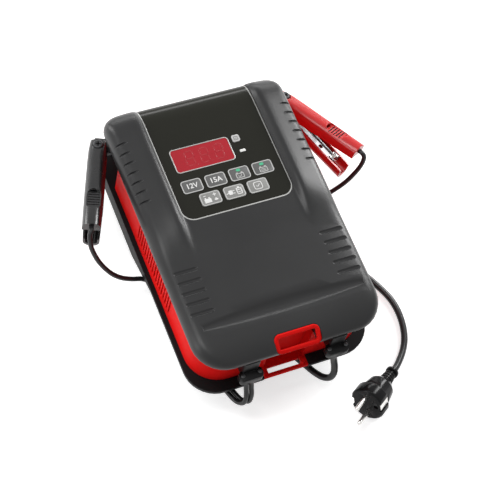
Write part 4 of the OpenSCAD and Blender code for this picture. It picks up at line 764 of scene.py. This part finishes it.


# Painted shade: near-black plates for the shaded bottoms of the grip slots in the oval thumb pads,
# and for the shaded cross in the nose screws
painted_slot_shade = moulded("painted_slot_shade", (0.004, 0.004, 0.0045), 0.6, second=(0.007, 0.006, 0.006), patch_size=200,
                    grain_size=2200, grain_depth=0.00002, gloss=0.05, wear=0.0)
slot_pitch = 3.1
pad_seat = Matrix.Translation((0, -0.048, 0.01937)) @ Matrix.Rotation(math.radians(-9.35), 4, "X")
crimp_seat = Matrix.Translation((0, -0.0565, 0.0148)) @ Matrix.Rotation(math.radians(-9), 4, "X")
screw_seat = Matrix.Translation((0, 0.02, 0.0105))
for colour in ("black", "red"):
    for half, side in (("upper", 1), ("lower", -1)):
        name = colour + "_" + half + "_grip_slots"
        bars = [plate(name, (0, slot_pitch * i), (11.4, 1.25), -0.7, -0.2, corner=0.5) for i in range(-2, 3)]
        part = colour + "_" + half + "_cover"
        fitted(parked(joined(name, bars), colour, side, pad_seat), painted_slot_shade, body_of[part])
    name = colour + "_crimp_tabs"
    tabs = [plate(name, (0, 0), (7.8, 2.4), -0.5, 0, corner=0.4)]
    tabs += [plate(name, (3.5 * i, 1.9 * j), (0.8, 2.6), -4.6 - 0.5 * i * j, 0, corner=0.3)
             for i in (-1, 1) for j in (-1, 1)]
    part = colour + "_lower_plate"
    fitted(parked(joined(name, tabs), colour, -1, crimp_seat), nickel, body_of[part])
    # Two near-black bars on each screw head: painted shade for its cross recess.
    name = colour + "_screw_cross"
    bars = [plate(name, (0, 0), size, 1.24, 1.6, corner=0.3) for size in ((5.2, 1.2), (1.2, 5.2))]
    fitted(parked(joined(name, bars), colour, 1, screw_seat), painted_slot_shade, body_of[colour + "_screw"])

# --- Mains plug ---
# A moulded two-pin plug with flat sides that carry the earth springs, a socket for the earth
# pin in its face, nickel-plated pins, and a ribbed neck that keeps the cord from kinking.
plug_black = moulded("plug_black", (0.005, 0.005, 0.0055), 0.17, second=(0.008, 0.008, 0.0085), patch_size=30,
                     polish=0.1, grain_size=1300, grain_depth=0.00001, scuffs=0.04, gloss=0.12,
                     worn=(0.05, 0.05, 0.05), wear=0.3)
finished("plug_body", plug_black, angle=25, soften=0.5)
finished("plug_neck", plug_black, angle=40, soften=0.3)
finished("plug_pins", nickel, angle=30)
finished("plug_earth", nickel, soften=0.2)

# --- Studio ---
# A white floor under a white surround, lit by five soft lamps: at the right and left of the
# display end, behind it, beside the left flank and high up. The floor keeps the shadow.


def rays_shown(tree):
    """One for the rays that look at a thing or its reflection, nought for those that light it."""
    rays = node(tree, "ShaderNodeLightPath")
    shown = node(tree, "ShaderNodeMath", operation="ADD", use_clamp=True)
    shown_too = node(tree, "ShaderNodeMath", operation="ADD", use_clamp=True)
    tree.links.new(rays.outputs["Is Camera Ray"], shown.inputs[0])
    tree.links.new(rays.outputs["Is Glossy Ray"], shown.inputs[1])
    tree.links.new(shown.outputs["Value"], shown_too.inputs[0])
    tree.links.new(rays.outputs["Is Transmission Ray"], shown_too.inputs[1])
    return shown_too.outputs["Value"]


floor_glow, surround_light = 0.6, 0.2
bpy.ops.mesh.primitive_plane_add(size=6, location=(0, 0, 0))
floor = bpy.context.object
floor.name = "studio_floor"
pale_floor = bpy.data.materials.new("pale_floor")
pale_floor.use_nodes = True
tree = pale_floor.node_tree
paint = tree.nodes["Principled BSDF"]
paint.inputs["Base Color"].default_value = (0.9, 0.9, 0.9, 1)
paint.inputs["Roughness"].default_value = 0.9
paint.inputs["Emission Color"].default_value = (1, 1, 1, 1)
lift = node(tree, "ShaderNodeMath", operation="MULTIPLY")
lift.inputs[1].default_value = floor_glow
tree.links.new(rays_shown(tree), lift.inputs[0])
tree.links.new(lift.outputs["Value"], paint.inputs["Emission Strength"])
floor.data.materials.append(pale_floor)

surround = bpy.data.worlds.new("studio_surround")
bpy.context.scene.world = surround
surround.use_nodes = True
tree = surround.node_tree
sky = tree.nodes["Background"]
sky.inputs["Color"].default_value = (1, 1, 1, 1)
sky.inputs["Strength"].default_value = surround_light
white = node(tree, "ShaderNodeBackground", Strength=1.0)
white.inputs["Color"].default_value = (1, 1, 1, 1)
choose = node(tree, "ShaderNodeMixShader")
tree.links.new(rays_shown(tree), choose.inputs["Fac"])
tree.links.new(sky.outputs["Background"], choose.inputs[1])
tree.links.new(white.outputs["Background"], choose.inputs[2])
tree.links.new(choose.outputs["Shader"], tree.nodes["World Output"].inputs["Surface"])


def soft_lamp(name, spot, aim, size, power):
    """A rectangular soft lamp that points at a spot on the charger."""
    bpy.ops.object.light_add(type="AREA", location=spot)
    lamp = bpy.context.object
    lamp.name = name
    lamp.data.shape = "RECTANGLE"
    lamp.data.size, lamp.data.size_y = size
    lamp.data.energy = power
    lamp.rotation_euler = (Vector(aim) - Vector(spot)).to_track_quat("-Z", "Y").to_euler()


soft_lamp("lamp_right", (0.95, 0.42, 0.6), (0.05, 0.02, 0.08), (0.22, 0.9), 11)
soft_lamp("lamp_behind", (0.25, 1.15, 0.42), (0, 0.1, 0.08), (1.3, 0.13), 4)
soft_lamp("lamp_left", (-0.8, 0.98, 0.46), (-0.08, 0.05, 0.07), (0.22, 0.66), 5)
soft_lamp("lamp_side", (-1.1, 0.0, 0.4), (0, 0, 0.05), (0.35, 0.9), 4)
soft_lamp("lamp_above", (-0.5, 0.1, 1.3), (0, 0, 0.05), (0.35, 0.9), 7)
bpy.context.scene.view_settings.view_transform = "Standard"
